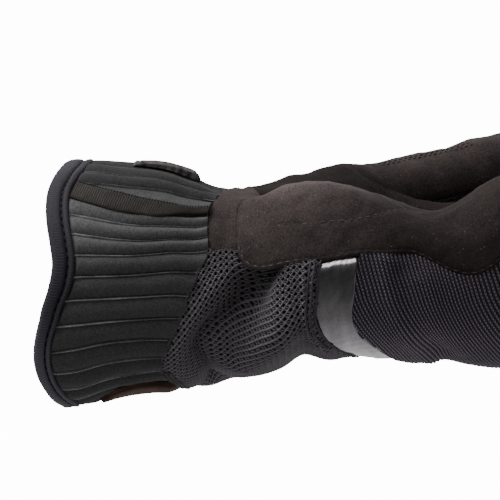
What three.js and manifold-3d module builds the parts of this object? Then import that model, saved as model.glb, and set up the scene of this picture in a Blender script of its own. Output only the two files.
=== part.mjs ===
import * as THREE from 'three';
import Module from 'manifold-3d';

const wasm = await Module();
wasm.setup();

// A left-hand summer glove lying on its back. Millimetres: X runs from the cuff to the
// fingertips, Z is up out of the palm, the little finger is on the -Y side.

const SEAM_GAP = 0.2;
const LAYER_GAP = 0.35;
const SUEDE_WALL = 1.5;
const KNIT_WALL = 1.8;
const MESH_WALL = 2.6;
const NEOPRENE_WALL = 2.4;
const BAND_WALL = 1.6;
const TAPE_WALL = 1;
const STRAP_WALL = 1.3;
const PATCH_WALL = 1.1;
const RIB_COUNT = 32;
const RIB_HEIGHT = 1;
const RIB_CREST = 0.25;
const ROOT_TAPER = 0.3;
const ROOT_REACH = 16;
const BODY_SQUARE = 2.25;
const DIGIT_SQUARE = 2.3;
const NOSE_START = 146;
const NOSE_LENGTH = 20;
const NOSE_ARC = 36;
const NOSE_WIDTH = 0.88;
const REST_LEVEL = 2.6;
const NEAR_SEAM_RIB = 5;
const FAR_SEAM_RIB = 12;
const PALM_SEAM = 86;
const TOP = 90;
const HALF_TURN = 180;
const TURN = 360;
const NORMAL_STEP = 0.2;
const NORMAL_DEGREES = 0.6;
const NORMAL_MARGIN = 0.3;
const MM_PER_DEGREE = 0.7;
const POINTS_PER_MM = 500;

// Cross sections of the hand and cuff: lowest, widest and highest level, and half width.
const SECTIONS = [
  { x: -4, bottom: 1, mid: 33, top: 68.5, half: 45 },
  { x: 12, bottom: 1, mid: 33, top: 68.5, half: 44 },
  { x: 22, bottom: 5, mid: 33, top: 68.3, half: 42.5 },
  { x: 33, bottom: 5.7, mid: 33, top: 66, half: 39.5 },
  { x: 42, bottom: 5.5, mid: 33, top: 64, half: 37 },
  { x: 50, bottom: 4.6, mid: 32, top: 61.4, half: 35 },
  { x: 58, bottom: 5.6, mid: 32, top: 61, half: 35.5 },
  { x: 65, bottom: 6.2, mid: 33, top: 62.5, half: 38 },
  { x: 71, bottom: 8, mid: 34, top: 65, half: 41 },
  { x: 78, bottom: 11.2, mid: 34, top: 68.3, half: 43.5 },
  { x: 86, bottom: 9.2, mid: 33, top: 69, half: 45 },
  { x: 94, bottom: 9.4, mid: 32, top: 67.2, half: 46 },
  { x: 101, bottom: 8.4, mid: 31, top: 63.5, half: 46.5 },
  { x: 108, bottom: 6.9, mid: 30, top: 59.5, half: 46.5 },
  { x: 117, bottom: 7.6, mid: 29.5, top: 55.5, half: 46 },
  { x: 124, bottom: 5.4, mid: 30, top: 56, half: 45.5 },
  { x: 131, bottom: 3.7, mid: 31.5, top: 58.5, half: 45 },
  { x: 138, bottom: 2.8, mid: 33, top: 60.5, half: 44.5 },
  { x: 146, bottom: 0.6, mid: 34, top: 62, half: 44 },
];

// Dents and swellings: where they lie, how far they reach along and around, how high they are.
const FOLDS = [
  { x: 98, deg: 92, long: 30, wide: 27, lift: -15 },
  { x: 85, deg: 128, long: 26, wide: 22, lift: -4 },
  { x: 136, deg: 56, long: 16, wide: 22, lift: 3.5 },
  { x: 142, deg: 122, long: 22, wide: 36, lift: -9 },
  { x: 73, deg: -24, long: 9, wide: 22, lift: 3 },
  { x: 64, deg: -8, long: 5, wide: 16, lift: -3.4 },
  { x: 56, deg: -28, long: 5, wide: 18, lift: -3.4 },
  { x: 78, deg: -40, long: 4, wide: 26, lift: -1.8 },
  { x: 44, deg: 96, long: 15, wide: 40, lift: 1.3 },
  { x: 51, deg: -90, long: 5, wide: 45, lift: 1.2 },
  { x: 91, deg: 132, long: 6, wide: 24, lift: 1.8 },
];

// Edge of the cuff opening all the way round with the width of its binding, and the line where
// the cuff meets the wrist, by angle.
const RIM = [
  { deg: -90, x: 8.6, wide: 4.3 },
  { deg: -80, x: 7.8, wide: 4.2 },
  { deg: -70, x: 7.8, wide: 4.8 },
  { deg: -60, x: 6.5, wide: 5.5 },
  { deg: -50, x: 4.4, wide: 5.6 },
  { deg: -40, x: 2.8, wide: 4.9 },
  { deg: -30, x: 1.7, wide: 4.6 },
  { deg: -20, x: 1.2, wide: 4.6 },
  { deg: -10, x: 2, wide: 4.7 },
  { deg: 0, x: 4, wide: 5.5 },
  { deg: 10, x: 6.8, wide: 6.5 },
  { deg: 20, x: 8.4, wide: 6.4 },
  { deg: 30, x: 8.3, wide: 6.4 },
  { deg: 40, x: 8.1, wide: 6.4 },
  { deg: 50, x: 8, wide: 6.5 },
  { deg: 60, x: 8.5, wide: 6.8 },
  { deg: 70, x: 9.8, wide: 7.4 },
  { deg: 80, x: 11.4, wide: 7.7 },
  { deg: 90, x: 13, wide: 7.8 },
  { deg: 100, x: 14.4, wide: 7.8 },
  { deg: 110, x: 13.9, wide: 7.4 },
  { deg: 120, x: 12.2, wide: 6.8 },
  { deg: 130, x: 10.6, wide: 6.4 },
  { deg: 145, x: 9.3, wide: 6.3 },
  { deg: 170, x: 9.2, wide: 6.3 },
  { deg: 182, x: 8.8, wide: 6.2 },
  { deg: 192, x: 7, wide: 6 },
  { deg: 202, x: 5.2, wide: 5.8 },
  { deg: 212, x: 4.5, wide: 5.6 },
  { deg: 222, x: 5, wide: 5.6 },
  { deg: 235, x: 7.4, wide: 5.5 },
  { deg: 250, x: 9, wide: 5 },
  { deg: 270, x: 8.6, wide: 4.3 },
];
const CUFF_END = [
  { deg: -90, x: 43 },
  { deg: -60, x: 40 },
  { deg: -45, x: 37 },
  { deg: -32, x: 37.5 },
  { deg: -20, x: 40 },
  { deg: -6, x: 43.5 },
  { deg: 8, x: 47.5 },
  { deg: 24, x: 52 },
  { deg: 40, x: 52.6 },
  { deg: 55, x: 53.5 },
  { deg: 72, x: 56.5 },
  { deg: 90, x: 58 },
];

// Grooves between the cuff's ribs, counted from the bottom up to the top of the cuff: their
// angle on the little-finger side at the rim, halfway and at the wrist.
const GROOVES = [
  { rib: 0, rim: -90, half: -90, wrist: -90 },
  { rib: 1, rim: -78, half: -79, wrist: -78 },
  { rib: 2, rim: -65, half: -69, wrist: -67 },
  { rib: 3, rim: -53, half: -58, wrist: -56 },
  { rib: 4, rim: -41, half: -44.5, wrist: -43.5 },
  { rib: 5, rim: -29, half: -30, wrist: -32 },
  { rib: 6, rim: -16.5, half: -16.5, wrist: -19.5 },
  { rib: 7, rim: -4, half: -5, wrist: -7 },
  { rib: 8, rim: 5, half: 4, wrist: 3 },
  { rib: 9, rim: 14.5, half: 13.5, wrist: 15 },
  { rib: 10, rim: 24.5, half: 23, wrist: 27 },
  { rib: 11, rim: 35.5, half: 30.5, wrist: 35.5 },
  { rib: 12, rim: 46.5, half: 39, wrist: 43 },
  { rib: 13, rim: 58, half: 49, wrist: 50.5 },
  { rib: 14, rim: 67, half: 66, wrist: 65 },
  { rib: 15, rim: 79, half: 77, wrist: 76 },
  { rib: 16, rim: 90, half: 90, wrist: 90 },
];

// Lower edge of the suede on the little-finger side, in the three stretches where it meets
// the mesh, the reflective band and the knit.
const SUEDE_ON_MESH = [
  { x: 61, deg: 26 },
  { x: 61.6, deg: 20 },
  { x: 64, deg: 14 },
  { x: 68, deg: 11 },
  { x: 74, deg: 11 },
  { x: 84, deg: 12 },
];
const SUEDE_ON_BAND = [
  { x: 84, deg: 12 },
  { x: 95.5, deg: 17 },
];
const SUEDE_ON_KNIT = [
  { x: 95.5, deg: 17 },
  { x: 103, deg: 20 },
  { x: 110, deg: 23 },
  { x: 116, deg: 19.5 },
  { x: 121, deg: 13 },
  { x: 127, deg: 8 },
  { x: 132, deg: 8.5 },
  { x: 137, deg: 13 },
  { x: 146, deg: 18 },
  { x: 182, deg: 24 },
];
const BAND_START = [
  { x: 84, deg: 12 },
  { x: 83, deg: -2 },
  { x: 82, deg: -20 },
  { x: 83, deg: -38 },
  { x: 87, deg: -56 },
  { x: 90, deg: -74 },
  { x: 91, deg: -90 },
];
const BAND_END = [
  { x: 95.5, deg: 17 },
  { x: 94, deg: 2 },
  { x: 92.6, deg: -16 },
  { x: 93, deg: -34 },
  { x: 97, deg: -52 },
  { x: 101.5, deg: -70 },
  { x: 103.5, deg: -90 },
];

// Fingers: where the root is and how far it leans sideways and climbs,
const DIGIT_ROOTS = {
  little: { x: 134, y: -30.5, z: 40, lean: -5, rise: 26, curl: 72 },
  ring: { x: 134, y: -10.2, z: 36.5, lean: -1.5, rise: 25, curl: 68 },
  middle: { x: 134, y: 10.4, z: 33.5, lean: 2, rise: 24, curl: 62 },
  index: { x: 134, y: 31, z: 32, lean: 6, rise: 22, curl: 54 },
  thumb: { x: 62, y: 11, z: 41, lean: 35, rise: 6, curl: 3 },
};
// and length, width at the root and tip, height at the root and tip.
const DIGIT_SIZES = {
  little: { long: 74, wide: 20, slim: 16.5, high: 23.5, thin: 17 },
  ring: { long: 90, wide: 20.3, slim: 17, high: 23.5, thin: 18 },
  middle: { long: 97, wide: 20.3, slim: 18, high: 23.5, thin: 18 },
  index: { long: 88, wide: 20, slim: 17.5, high: 23.5, thin: 18 },
  thumb: { long: 112, wide: 29, slim: 20, high: 29, thin: 20 },
};

const COLOURS = {
  binding: { color: '#24242b', roughness: 0.75, metalness: 0 },
  neoprene: { color: '#38393a', roughness: 0.9, metalness: 0 },
  tape: { color: '#4b4640', roughness: 0.85, metalness: 0 },
  suede: { color: '#413a37', roughness: 0.95, metalness: 0 },
  mesh: { color: '#25242a', roughness: 0.85, metalness: 0 },
  reflective: { color: '#4a4a4c', roughness: 0.35, metalness: 0 },
  knit: { color: '#222026', roughness: 0.9, metalness: 0 },
};

const radians = (deg) => (deg * Math.PI) / HALF_TURN;

// Row of a table at any place, by a smooth curve through its rows.
function lookup(table, key, at) {
  const last = table.length - 1;
  let k = 0;
  while (k < last - 1 && at > table[k + 1][key]) k += 1;
  const span = table[k + 1][key] - table[k][key];
  const t = Math.min(1, Math.max(0, (at - table[k][key]) / span));
  const slope = (i, column) => {
    const a = Math.max(0, i - 1);
    const b = Math.min(last, i + 1);
    return (table[b][column] - table[a][column]) / (table[b][key] - table[a][key]);
  };
  const row = {};
  for (const column of Object.keys(table[k])) {
    const a = table[k][column];
    const b = table[k + 1][column];
    const bend = t * t * (3 - 2 * t);
    const leave = t * (1 - t) * (1 - t) * span * slope(k, column);
    const arrive = t * t * (1 - t) * span * slope(k + 1, column);
    row[column] = a + (b - a) * bend + leave - arrive;
  }
  return row;
}

const power = (value, square) => Math.sign(value) * Math.abs(value) ** (2 / square);
const wrapped = (deg) => ((((deg + HALF_TURN) % TURN) + TURN) % TURN) - HALF_TURN;
const nearSide = (deg) => {
  const turned = wrapped(deg);
  return Math.abs(turned) <= TOP ? turned : Math.sign(turned) * HALF_TURN - turned;
};

// Point of the outside of the hand and cuff at a station and an angle: -90 is the bottom,
// 0 the little-finger side, 90 the top, 180 the thumb side. Past NOSE_START the form rounds off.
function bodyPoint(station, deg) {
  const x = Math.min(station, NOSE_START);
  const turn = (Math.min(1, Math.max(0, station - NOSE_START) / NOSE_ARC) * Math.PI) / 2;
  const row = lookup(SECTIONS, 'x', x);
  const across = power(Math.cos(radians(deg)), BODY_SQUARE);
  const up = power(Math.sin(radians(deg)), BODY_SQUARE);
  const reach = up > 0 ? row.top - row.mid : row.mid - row.bottom;
  let y = -row.half * across * (NOSE_WIDTH + (1 - NOSE_WIDTH) * Math.cos(turn));
  let z = row.mid + reach * up * Math.cos(turn);
  let lift = 0;
  for (const fold of FOLDS) {
    const a = (station - fold.x) / fold.long;
    const b = wrapped(deg - fold.deg) / fold.wide;
    lift += fold.lift * Math.exp(-a * a - b * b);
  }
  const far = Math.hypot(row.half * across, reach * up) || 1;
  y -= (lift * row.half * across * Math.cos(turn)) / far;
  z += (lift * reach * up * Math.cos(turn)) / far;
  return new THREE.Vector3(x + NOSE_LENGTH * Math.sin(turn), y, z);
}

// Same, moved out or in along the true normal, and flattened where the glove rests.
function bodyAt(station, deg, out, raised = 0) {
  const s = Math.min(station, NOSE_START + NOSE_ARC - NORMAL_MARGIN);
  const along = bodyPoint(s + NORMAL_STEP, deg).sub(bodyPoint(s - NORMAL_STEP, deg));
  const around = bodyPoint(s, deg + NORMAL_DEGREES).sub(bodyPoint(s, deg - NORMAL_DEGREES));
  const normal = along.cross(around).normalize();
  const point = bodyPoint(station, deg).addScaledVector(normal, out);
  point.z = Math.max(point.z, REST_LEVEL + raised);
  return point;
}

function indexed(points, faces) {
  const places = points.flatMap((p) => [p.x, p.y, p.z]);
  const geometry = new THREE.BufferGeometry();
  geometry.setAttribute('position', new THREE.Float32BufferAttribute(places, 3));
  geometry.setIndex(faces.flat());
  return geometry;
}

// Closed shell from an outer and an inner grid of points.
function shellGeometry(outer, inner, ring) {
  const rows = outer.length;
  const columns = outer[0].length;
  const points = [];
  const index = new Map();
  const id = (p) => {
    const key = [p.x, p.y, p.z].map((v) => Math.round(v * POINTS_PER_MM)).join(',');
    if (!index.has(key)) {
      index.set(key, points.length);
      points.push(p);
    }
    return index.get(key);
  };
  const faces = [];
  const tri = (a, b, c) => {
    if (a !== b && b !== c && c !== a) faces.push([a, b, c]);
  };
  const quad = (a, b, c, d) => {
    tri(id(a), id(b), id(c));
    tri(id(a), id(c), id(d));
  };
  const last = ring ? columns : columns - 1;
  for (let i = 0; i < rows - 1; i += 1) {
    for (let j = 0; j < last; j += 1) {
      const k = (j + 1) % columns;
      quad(outer[i][j], outer[i + 1][j], outer[i + 1][k], outer[i][k]);
      quad(inner[i][j], inner[i][k], inner[i + 1][k], inner[i + 1][j]);
    }
  }
  for (let j = 0; j < last; j += 1) {
    const k = (j + 1) % columns;
    const end = rows - 1;
    quad(outer[0][j], outer[0][k], inner[0][k], inner[0][j]);
    quad(outer[end][j], inner[end][j], inner[end][k], outer[end][k]);
  }
  if (!ring) {
    const side = columns - 1;
    for (let i = 0; i < rows - 1; i += 1) {
      quad(outer[i][0], inner[i][0], inner[i + 1][0], outer[i + 1][0]);
      quad(outer[i][side], outer[i + 1][side], inner[i + 1][side], inner[i][side]);
    }
  }
  return indexed(points, closedFaces(faces));
}

// Drops pairs of faces that lie back to back, which a collapsed edge leaves behind.
function closedFaces(faces) {
  const seen = new Map();
  for (const face of faces) {
    const key = [...face].sort((a, b) => a - b).join(',');
    if (seen.has(key)) seen.delete(key);
    else seen.set(key, face);
  }
  return [...seen.values()];
}

const toSolid = (geometry) =>
  new wasm.Manifold(
    new wasm.Mesh({
      numProp: 3,
      vertProperties: geometry.attributes.position.array,
      triVerts: new Uint32Array(geometry.index.array),
    }),
  );

function toGeometry(solid) {
  const mesh = solid.getMesh();
  const geometry = new THREE.BufferGeometry();
  geometry.setAttribute('position', new THREE.Float32BufferAttribute(mesh.vertProperties, 3));
  geometry.setIndex(Array.from(mesh.triVerts));
  return geometry;
}

// Evenly spaced points along a curve given by a few rows of station and angle.
function sampled(rows, count) {
  let at = 0;
  const table = rows.map((row, i) => {
    const before = rows[Math.max(0, i - 1)];
    at += Math.hypot(row.x - before.x, (row.deg - before.deg) * MM_PER_DEGREE);
    return { at, x: row.x, deg: row.deg };
  });
  const list = [];
  for (let i = 0; i <= count; i += 1) list.push(lookup(table, 'at', (at * i) / count));
  return list;
}

const blend = (a, b, t) => ({ x: a.x + (b.x - a.x) * t, deg: a.deg + (b.deg - a.deg) * t });
const straight = (a, b, count) => Array.from({ length: count + 1 }, (_, i) => blend(a, b, i / count));
const mirrored = (rows) => rows.map((row) => ({ x: row.x, deg: -HALF_TURN - row.deg }));
const overTop = (rows) => rows.map((row) => ({ x: row.x, deg: HALF_TURN - row.deg }));
const joined = (...parts) => parts.flatMap((part, i) => (i === 0 ? part : part.slice(1)));

// Grid of stations and angles that fills four edges: left and right run along the hand,
// near end and far end run around it.
function filled(left, right, start, end) {
  const rows = left.length;
  const columns = start.length;
  return left.map((_, i) =>
    start.map((__, j) => {
      const u = i / (rows - 1);
      const v = j / (columns - 1);
      const mix = (key) =>
        left[i][key] * (1 - v) +
        right[i][key] * v +
        start[j][key] * (1 - u) +
        end[j][key] * u -
        (start[0][key] * (1 - u) * (1 - v) +
          start[columns - 1][key] * (1 - u) * v +
          end[0][key] * u * (1 - v) +
          end[columns - 1][key] * u * v);
      return { x: mix('x'), deg: mix('deg') };
    }),
  );
}

// The same between two long edges, with straight ends.
function spanned(left, right, columns) {
  const last = left.length - 1;
  const start = straight(left[0], right[0], columns);
  const end = straight(left[last], right[last], columns);
  return filled(left, right, start, end);
}

// Moves the edge points of a grid a little inward, so that neighbours stay apart.
function inset(grid, ring) {
  const rows = grid.length;
  const columns = grid[0].length;
  const pull = (p, q) => {
    const step = q.clone().sub(p);
    const length = step.length();
    if (length > SEAM_GAP * 2) p.addScaledVector(step, SEAM_GAP / length);
  };
  for (let j = 0; j < columns; j += 1) {
    pull(grid[0][j], grid[1][j]);
    pull(grid[rows - 1][j], grid[rows - 2][j]);
  }
  if (!ring) {
    for (let i = 0; i < rows; i += 1) {
      pull(grid[i][0], grid[i][1]);
      pull(grid[i][columns - 1], grid[i][columns - 2]);
    }
  }
  return grid;
}

// Wall of the body over a grid of stations and angles.
function wall(grid, thick, lift = () => 0, ring = false) {
  const outer = grid.map((row) => row.map((p) => bodyAt(p.x, p.deg, lift(p))));
  const inner = grid.map((row) => row.map((p) => bodyAt(p.x, p.deg, lift(p) - thick, thick)));
  return shellGeometry(inset(outer, ring), inset(inner, ring), ring);
}

const glove = new THREE.Group();
glove.name = 'summer_glove';

function addPiece(name, geometry, colour) {
  const mesh = new THREE.Mesh(geometry, new THREE.MeshStandardMaterial(COLOURS[colour]));
  mesh.name = name;
  glove.add(mesh);
}

// Cuff: binding folded over the edge, then the ribbed neoprene.
const rimAt = (deg) => lookup(RIM, 'deg', ((deg + TOP + TURN) % TURN) - TOP);
const cuffEndAt = (deg) => lookup(CUFF_END, 'deg', nearSide(deg)).x;
const BINDING_STEPS = 48;
const BINDING_GAP = 0.2;
const BINDING_FLOOR = 2;
const BINDING_PROFILE = [
  { along: 0, out: 0.9 },
  { along: 0.14, out: 1.8 },
  { along: 0.54, out: 1.9 },
  { along: 0.67, out: 1.1 },
  { along: 0.83, out: 1.8 },
  { along: 1, out: 1.2 },
];
const BINDING_INSIDE = [
  { along: 0, out: -1.6 },
  { along: 0.14, out: -2.6 },
  { along: 0.54, out: -2.8 },
  { along: 0.67, out: -2.8 },
  { along: 0.83, out: -2.8 },
  { along: 1, out: -2.6 },
];

function bindingGrid(profile, floor) {
  return profile.map((row) =>
    Array.from({ length: BINDING_STEPS }, (_, j) => {
      const deg = (TURN * j) / BINDING_STEPS - TOP;
      const rim = rimAt(deg);
      return bodyAt(rim.x + row.along * rim.wide, deg, row.out, floor);
    }),
  );
}

const bindingOuter = bindingGrid(BINDING_PROFILE, 0);
const bindingInner = bindingGrid(BINDING_INSIDE, BINDING_FLOOR);
addPiece('cuff_binding', shellGeometry(bindingOuter, bindingInner, true), 'binding');

const CUFF_ROWS = 5;
const RIB_PARTS = [0, RIB_CREST, 1 - RIB_CREST];

// Angle of a rib, whole for a groove, at a part of the way from the rim to the wrist.
function ribAngle(rib, part) {
  const fromBottom = rib + RIB_COUNT / 4;
  const overTheTop = fromBottom > RIB_COUNT / 2;
  const row = lookup(GROOVES, 'rib', overTheTop ? RIB_COUNT - fromBottom : Math.abs(fromBottom));
  const ends = (1 - 2 * part) * (row.rim * (1 - part) - row.wrist * part);
  const near = ends + 4 * part * (1 - part) * row.half;
  if (overTheTop) return HALF_TURN - near;
  return fromBottom < 0 ? -HALF_TURN - near : near;
}

function ribbedGrid(first, last) {
  const ribs = [];
  for (let rib = first; rib < last; rib += 1) ribs.push(...RIB_PARTS.map((part) => rib + part));
  ribs.push(last);
  const rows = [];
  for (let i = 0; i <= CUFF_ROWS; i += 1) {
    const part = i / CUFF_ROWS;
    rows.push(
      ribs.map((rib) => {
        const deg = ribAngle(rib, part);
        const rim = rimAt(deg);
        const start = rim.x + rim.wide + BINDING_GAP;
        const x = start + (cuffEndAt(deg) - LAYER_GAP - start) * part;
        return { x, deg, lift: Number.isInteger(rib) ? 0 : RIB_HEIGHT };
      }),
    );
  }
  return rows;
}

const ribLift = (p) => p.lift;
const palmRibs = ribbedGrid(NEAR_SEAM_RIB, FAR_SEAM_RIB);
const backRibs = ribbedGrid(FAR_SEAM_RIB - RIB_COUNT, NEAR_SEAM_RIB);
addPiece('cuff_palm', wall(palmRibs, NEOPRENE_WALL, ribLift), 'neoprene');
addPiece('cuff_back', wall(backRibs, NEOPRENE_WALL, ribLift), 'neoprene');

// Layers sewn over the cuff.
const OVER_RIBS = RIB_HEIGHT + LAYER_GAP;
function layer(left, right, columns, thick, out) {
  return wall(spanned(left, right, columns), thick, () => out + thick);
}

const TAPE_LOW = [
  { x: 15.6, deg: 54 },
  { x: 19, deg: 50 },
  { x: 26, deg: 45.5 },
  { x: 33, deg: 43.5 },
  { x: 40, deg: 43 },
  { x: 47, deg: 47 },
  { x: 51.5, deg: 48.5 },
];
const TAPE_HIGH = [
  { x: 17.6, deg: 64 },
  { x: 23, deg: 59 },
  { x: 29.5, deg: 56 },
  { x: 36.5, deg: 53 },
  { x: 43.5, deg: 51.5 },
  { x: 51.5, deg: 53 },
];
const TAPE_ROWS = 10;
const TAPE_COLUMNS = 2;
const tapeLow = sampled(TAPE_LOW, TAPE_ROWS);
const tapeHigh = sampled(TAPE_HIGH, TAPE_ROWS);
addPiece('seam_tape', layer(tapeLow, tapeHigh, TAPE_COLUMNS, TAPE_WALL, OVER_RIBS), 'tape');

const STRAP_START = 33;
const STRAP_NEAR = 91;
const STRAP_FAR = 166;
const STRAP_WIDTH = 18.5;
const STRAP_SLANT = 1;
const STRAP_RISE = 2.4;
const STRAP_BEND = 1.6;
const STRAP_STEPS = 14;
const STRAP_PARTS = [0, 0.12, 0.5, 0.88, 1];
const strapGrid = STRAP_PARTS.map((part) => {
  const x = STRAP_START + STRAP_WIDTH * part;
  return straight({ x, deg: STRAP_NEAR }, { x: x + STRAP_SLANT, deg: STRAP_FAR }, STRAP_STEPS);
});
const strapLift = (p) => {
  const part = (p.x - STRAP_START) / STRAP_WIDTH;
  return OVER_RIBS + STRAP_WALL + STRAP_RISE * part * (STRAP_BEND - part);
};
addPiece('wrist_strap', wall(strapGrid, STRAP_WALL, strapLift), 'binding');

const PATCH_TOP = [
  { x: 22, deg: -74 },
  { x: 24, deg: -65 },
  { x: 29, deg: -60 },
  { x: 36, deg: -60 },
  { x: 41, deg: -66 },
];
const PATCH_LIFT = 0.5;
const PATCH_ROWS = 8;
const PATCH_COLUMNS = 10;
const patchNear = sampled(PATCH_TOP, PATCH_ROWS);
const patchOut = OVER_RIBS + PATCH_LIFT;
const patch = layer(mirrored(patchNear), patchNear, PATCH_COLUMNS, PATCH_WALL, patchOut);
addPiece('cuff_patch', patch, 'suede');

// Suede at the wrist, from the corner of the mesh over the top to the thumb side.
const corner = SUEDE_ON_MESH[0];
const WRIST_STEPS = 14;
const WRIST_PARTS = [0, 0.5, 1];
const wristEnd = straight(corner, { x: corner.x, deg: HALF_TURN - corner.deg }, WRIST_STEPS);
const wristGrid = WRIST_PARTS.map((part) =>
  wristEnd.map((end) => blend({ x: cuffEndAt(end.deg), deg: end.deg }, end, part)),
);
addPiece('wrist_piece', wall(wristGrid, SUEDE_WALL), 'suede');

// Suede of the palm, in two parts that meet in the hollow of the palm.
const MESH_ROWS = 6;
const BAND_ROWS = 2;
const KNIT_ROWS = 11;
const HEEL_COLUMNS = 6;
const PALM_COLUMNS = 7;
const onMesh = sampled(SUEDE_ON_MESH, MESH_ROWS);
const onBand = sampled(SUEDE_ON_BAND, BAND_ROWS);
const onKnit = sampled(SUEDE_ON_KNIT, KNIT_ROWS);
const lowerEdge = joined(onMesh, onBand, onKnit);
const palmLine = lowerEdge.map((p) => ({ x: p.x, deg: PALM_SEAM }));

const heelPanel = wall(spanned(lowerEdge, palmLine, HEEL_COLUMNS), SUEDE_WALL);
const palmPanel = wall(spanned(palmLine, overTop(lowerEdge), PALM_COLUMNS), SUEDE_WALL);

// Back of the hand: mesh, reflective band, knit.
const BACK_HALF = 9;
const WRIST_ROWS = 2;
const bothHalves = (rows) => {
  const near = sampled(rows, BACK_HALF);
  return joined(mirrored(near), near.reverse());
};
const meshStart = CUFF_END.filter((row) => row.deg < corner.deg).reverse();
meshStart.unshift({ x: cuffEndAt(corner.deg), deg: corner.deg });
const bandStart = bothHalves(BAND_START);
const bandEnd = bothHalves(BAND_END);
const WRIST_SIDE = [{ x: cuffEndAt(corner.deg), deg: corner.deg }, corner];
const meshSide = joined(sampled(WRIST_SIDE, WRIST_ROWS), onMesh);
const meshGrid = filled(mirrored(meshSide), meshSide, bothHalves(meshStart), bandStart);
const mesh = wall(meshGrid, MESH_WALL);
const band = wall(filled(mirrored(onBand), onBand, bandStart, bandEnd), BAND_WALL);
const noseEdge = straight(mirrored(onKnit)[KNIT_ROWS], onKnit[KNIT_ROWS], 2 * BACK_HALF);
const knit = wall(filled(mirrored(onKnit), onKnit, bandEnd, noseEdge), KNIT_WALL);

// Fingers: a bent tube with a rounded end, in a front and a back half.
const DIGIT_ROWS = 9;
const DIGIT_COLUMNS = 6;
const TIP_ROWS = 3;
const DIGIT_STEPS = 40;

function digitFrames(digit) {
  const at = new THREE.Vector3(digit.x, digit.y, digit.z);
  const frames = [];
  const lean = radians(digit.lean);
  const level = new THREE.Vector3(Math.cos(lean), Math.sin(lean), 0);
  const side = new THREE.Vector3(Math.sin(lean), -Math.cos(lean), 0);
  for (let i = 0; i <= DIGIT_STEPS; i += 1) {
    const slope = radians(digit.rise + ((digit.curl - digit.rise) * i) / DIGIT_STEPS);
    const ahead = level.clone().multiplyScalar(Math.cos(slope));
    ahead.z = Math.sin(slope);
    const up = side.clone().cross(ahead);
    frames.push({ at: at.clone(), ahead, side, up });
    at.addScaledVector(ahead, digit.long / DIGIT_STEPS);
  }
  return frames;
}

function digitRings(digit, shrink, columns, from, to) {
  const frames = digitFrames(digit);
  const tip = digit.slim / 2;
  const bodyLength = digit.long - tip;
  const rings = [];
  for (let i = 0; i <= DIGIT_ROWS + TIP_ROWS; i += 1) {
    const past = Math.max(0, i - DIGIT_ROWS) / TIP_ROWS;
    const turn = (past * Math.PI) / 2;
    const along = (bodyLength * Math.min(i, DIGIT_ROWS)) / DIGIT_ROWS;
    const frame = frames[Math.round((along / digit.long) * (frames.length - 1))];
    const part = along / bodyLength;
    const full = 1 - ROOT_TAPER * Math.exp(-((along / ROOT_REACH) ** 2));
    const wide = ((digit.wide + (digit.slim - digit.wide) * part) / 2) * full - shrink;
    const high = ((digit.high + (digit.thin - digit.high) * part) / 2) * full - shrink;
    const centre = frame.at.clone().addScaledVector(frame.ahead, (tip - shrink) * Math.sin(turn));
    const ring = [];
    for (let j = 0; j <= columns; j += 1) {
      const deg = radians(from + ((to - from) * j) / columns);
      ring.push(
        centre
          .clone()
          .addScaledVector(frame.side, wide * power(Math.cos(deg), DIGIT_SQUARE) * Math.cos(turn))
          .addScaledVector(frame.up, high * power(Math.sin(deg), DIGIT_SQUARE) * Math.cos(turn)),
      );
    }
    rings.push(ring);
  }
  return rings;
}

function digitHalf(digit, thick, from, away) {
  const shift = new THREE.Vector3(0, 0, away * SEAM_GAP);
  const make = (shrink) => {
    const rings = digitRings(digit, shrink, DIGIT_COLUMNS, from, from + HALF_TURN);
    return rings.map((ring) => ring.map((p) => p.add(shift)));
  };
  return toSolid(shellGeometry(make(0), make(thick), false));
}

function filledTube(rings) {
  const centres = [rings[0], rings[rings.length - 1]].map((ring) =>
    ring.reduce((sum, p) => sum.add(p), new THREE.Vector3()).divideScalar(ring.length),
  );
  const points = rings.flat();
  const columns = rings[0].length;
  const faces = [];
  for (let i = 0; i < rings.length - 1; i += 1) {
    for (let j = 0; j < columns; j += 1) {
      const k = (j + 1) % columns;
      const a = i * columns;
      const b = a + columns;
      faces.push([a + j, b + j, b + k], [a + j, b + k, a + k]);
    }
  }
  const end = (rings.length - 1) * columns;
  for (let j = 0; j < columns; j += 1) {
    const k = (j + 1) % columns;
    faces.push([points.length, j, k], [points.length + 1, end + k, end + j]);
  }
  return toSolid(indexed([...points, ...centres], faces));
}

function digitCore(digit, shrink) {
  const rings = digitRings(digit, shrink, 2 * DIGIT_COLUMNS, 0, TURN);
  return filledTube(rings.slice(0, -1).map((ring) => ring.slice(0, -1)));
}

// Filled form of the hand, which the fingers are cut off against.
const HULL_STEPS = 40;
const HULL_ROWS = 24;
const HULL_START = 50;
const HULL_END = NOSE_START + NOSE_ARC - NORMAL_STEP;
function bodyHull(out) {
  const rings = [];
  for (let i = 0; i <= HULL_ROWS; i += 1) {
    const station = HULL_START + ((HULL_END - HULL_START) * i) / HULL_ROWS;
    const ring = [];
    for (let j = 0; j < HULL_STEPS; j += 1) {
      ring.push(bodyAt(station, (TURN * j) / HULL_STEPS, out, -LAYER_GAP));
    }
    rings.push(ring);
  }
  return filledTube(rings);
}

const hull = bodyHull(LAYER_GAP);
const digits = Object.keys(DIGIT_ROOTS).map((name) => {
  return { name, ...DIGIT_ROOTS[name], ...DIGIT_SIZES[name] };
});
const cores = digits.map((digit) => digitCore(digit, SUEDE_WALL));
const largest = (solid) => solid.decompose().sort((a, b) => b.volume() - a.volume())[0];
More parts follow.
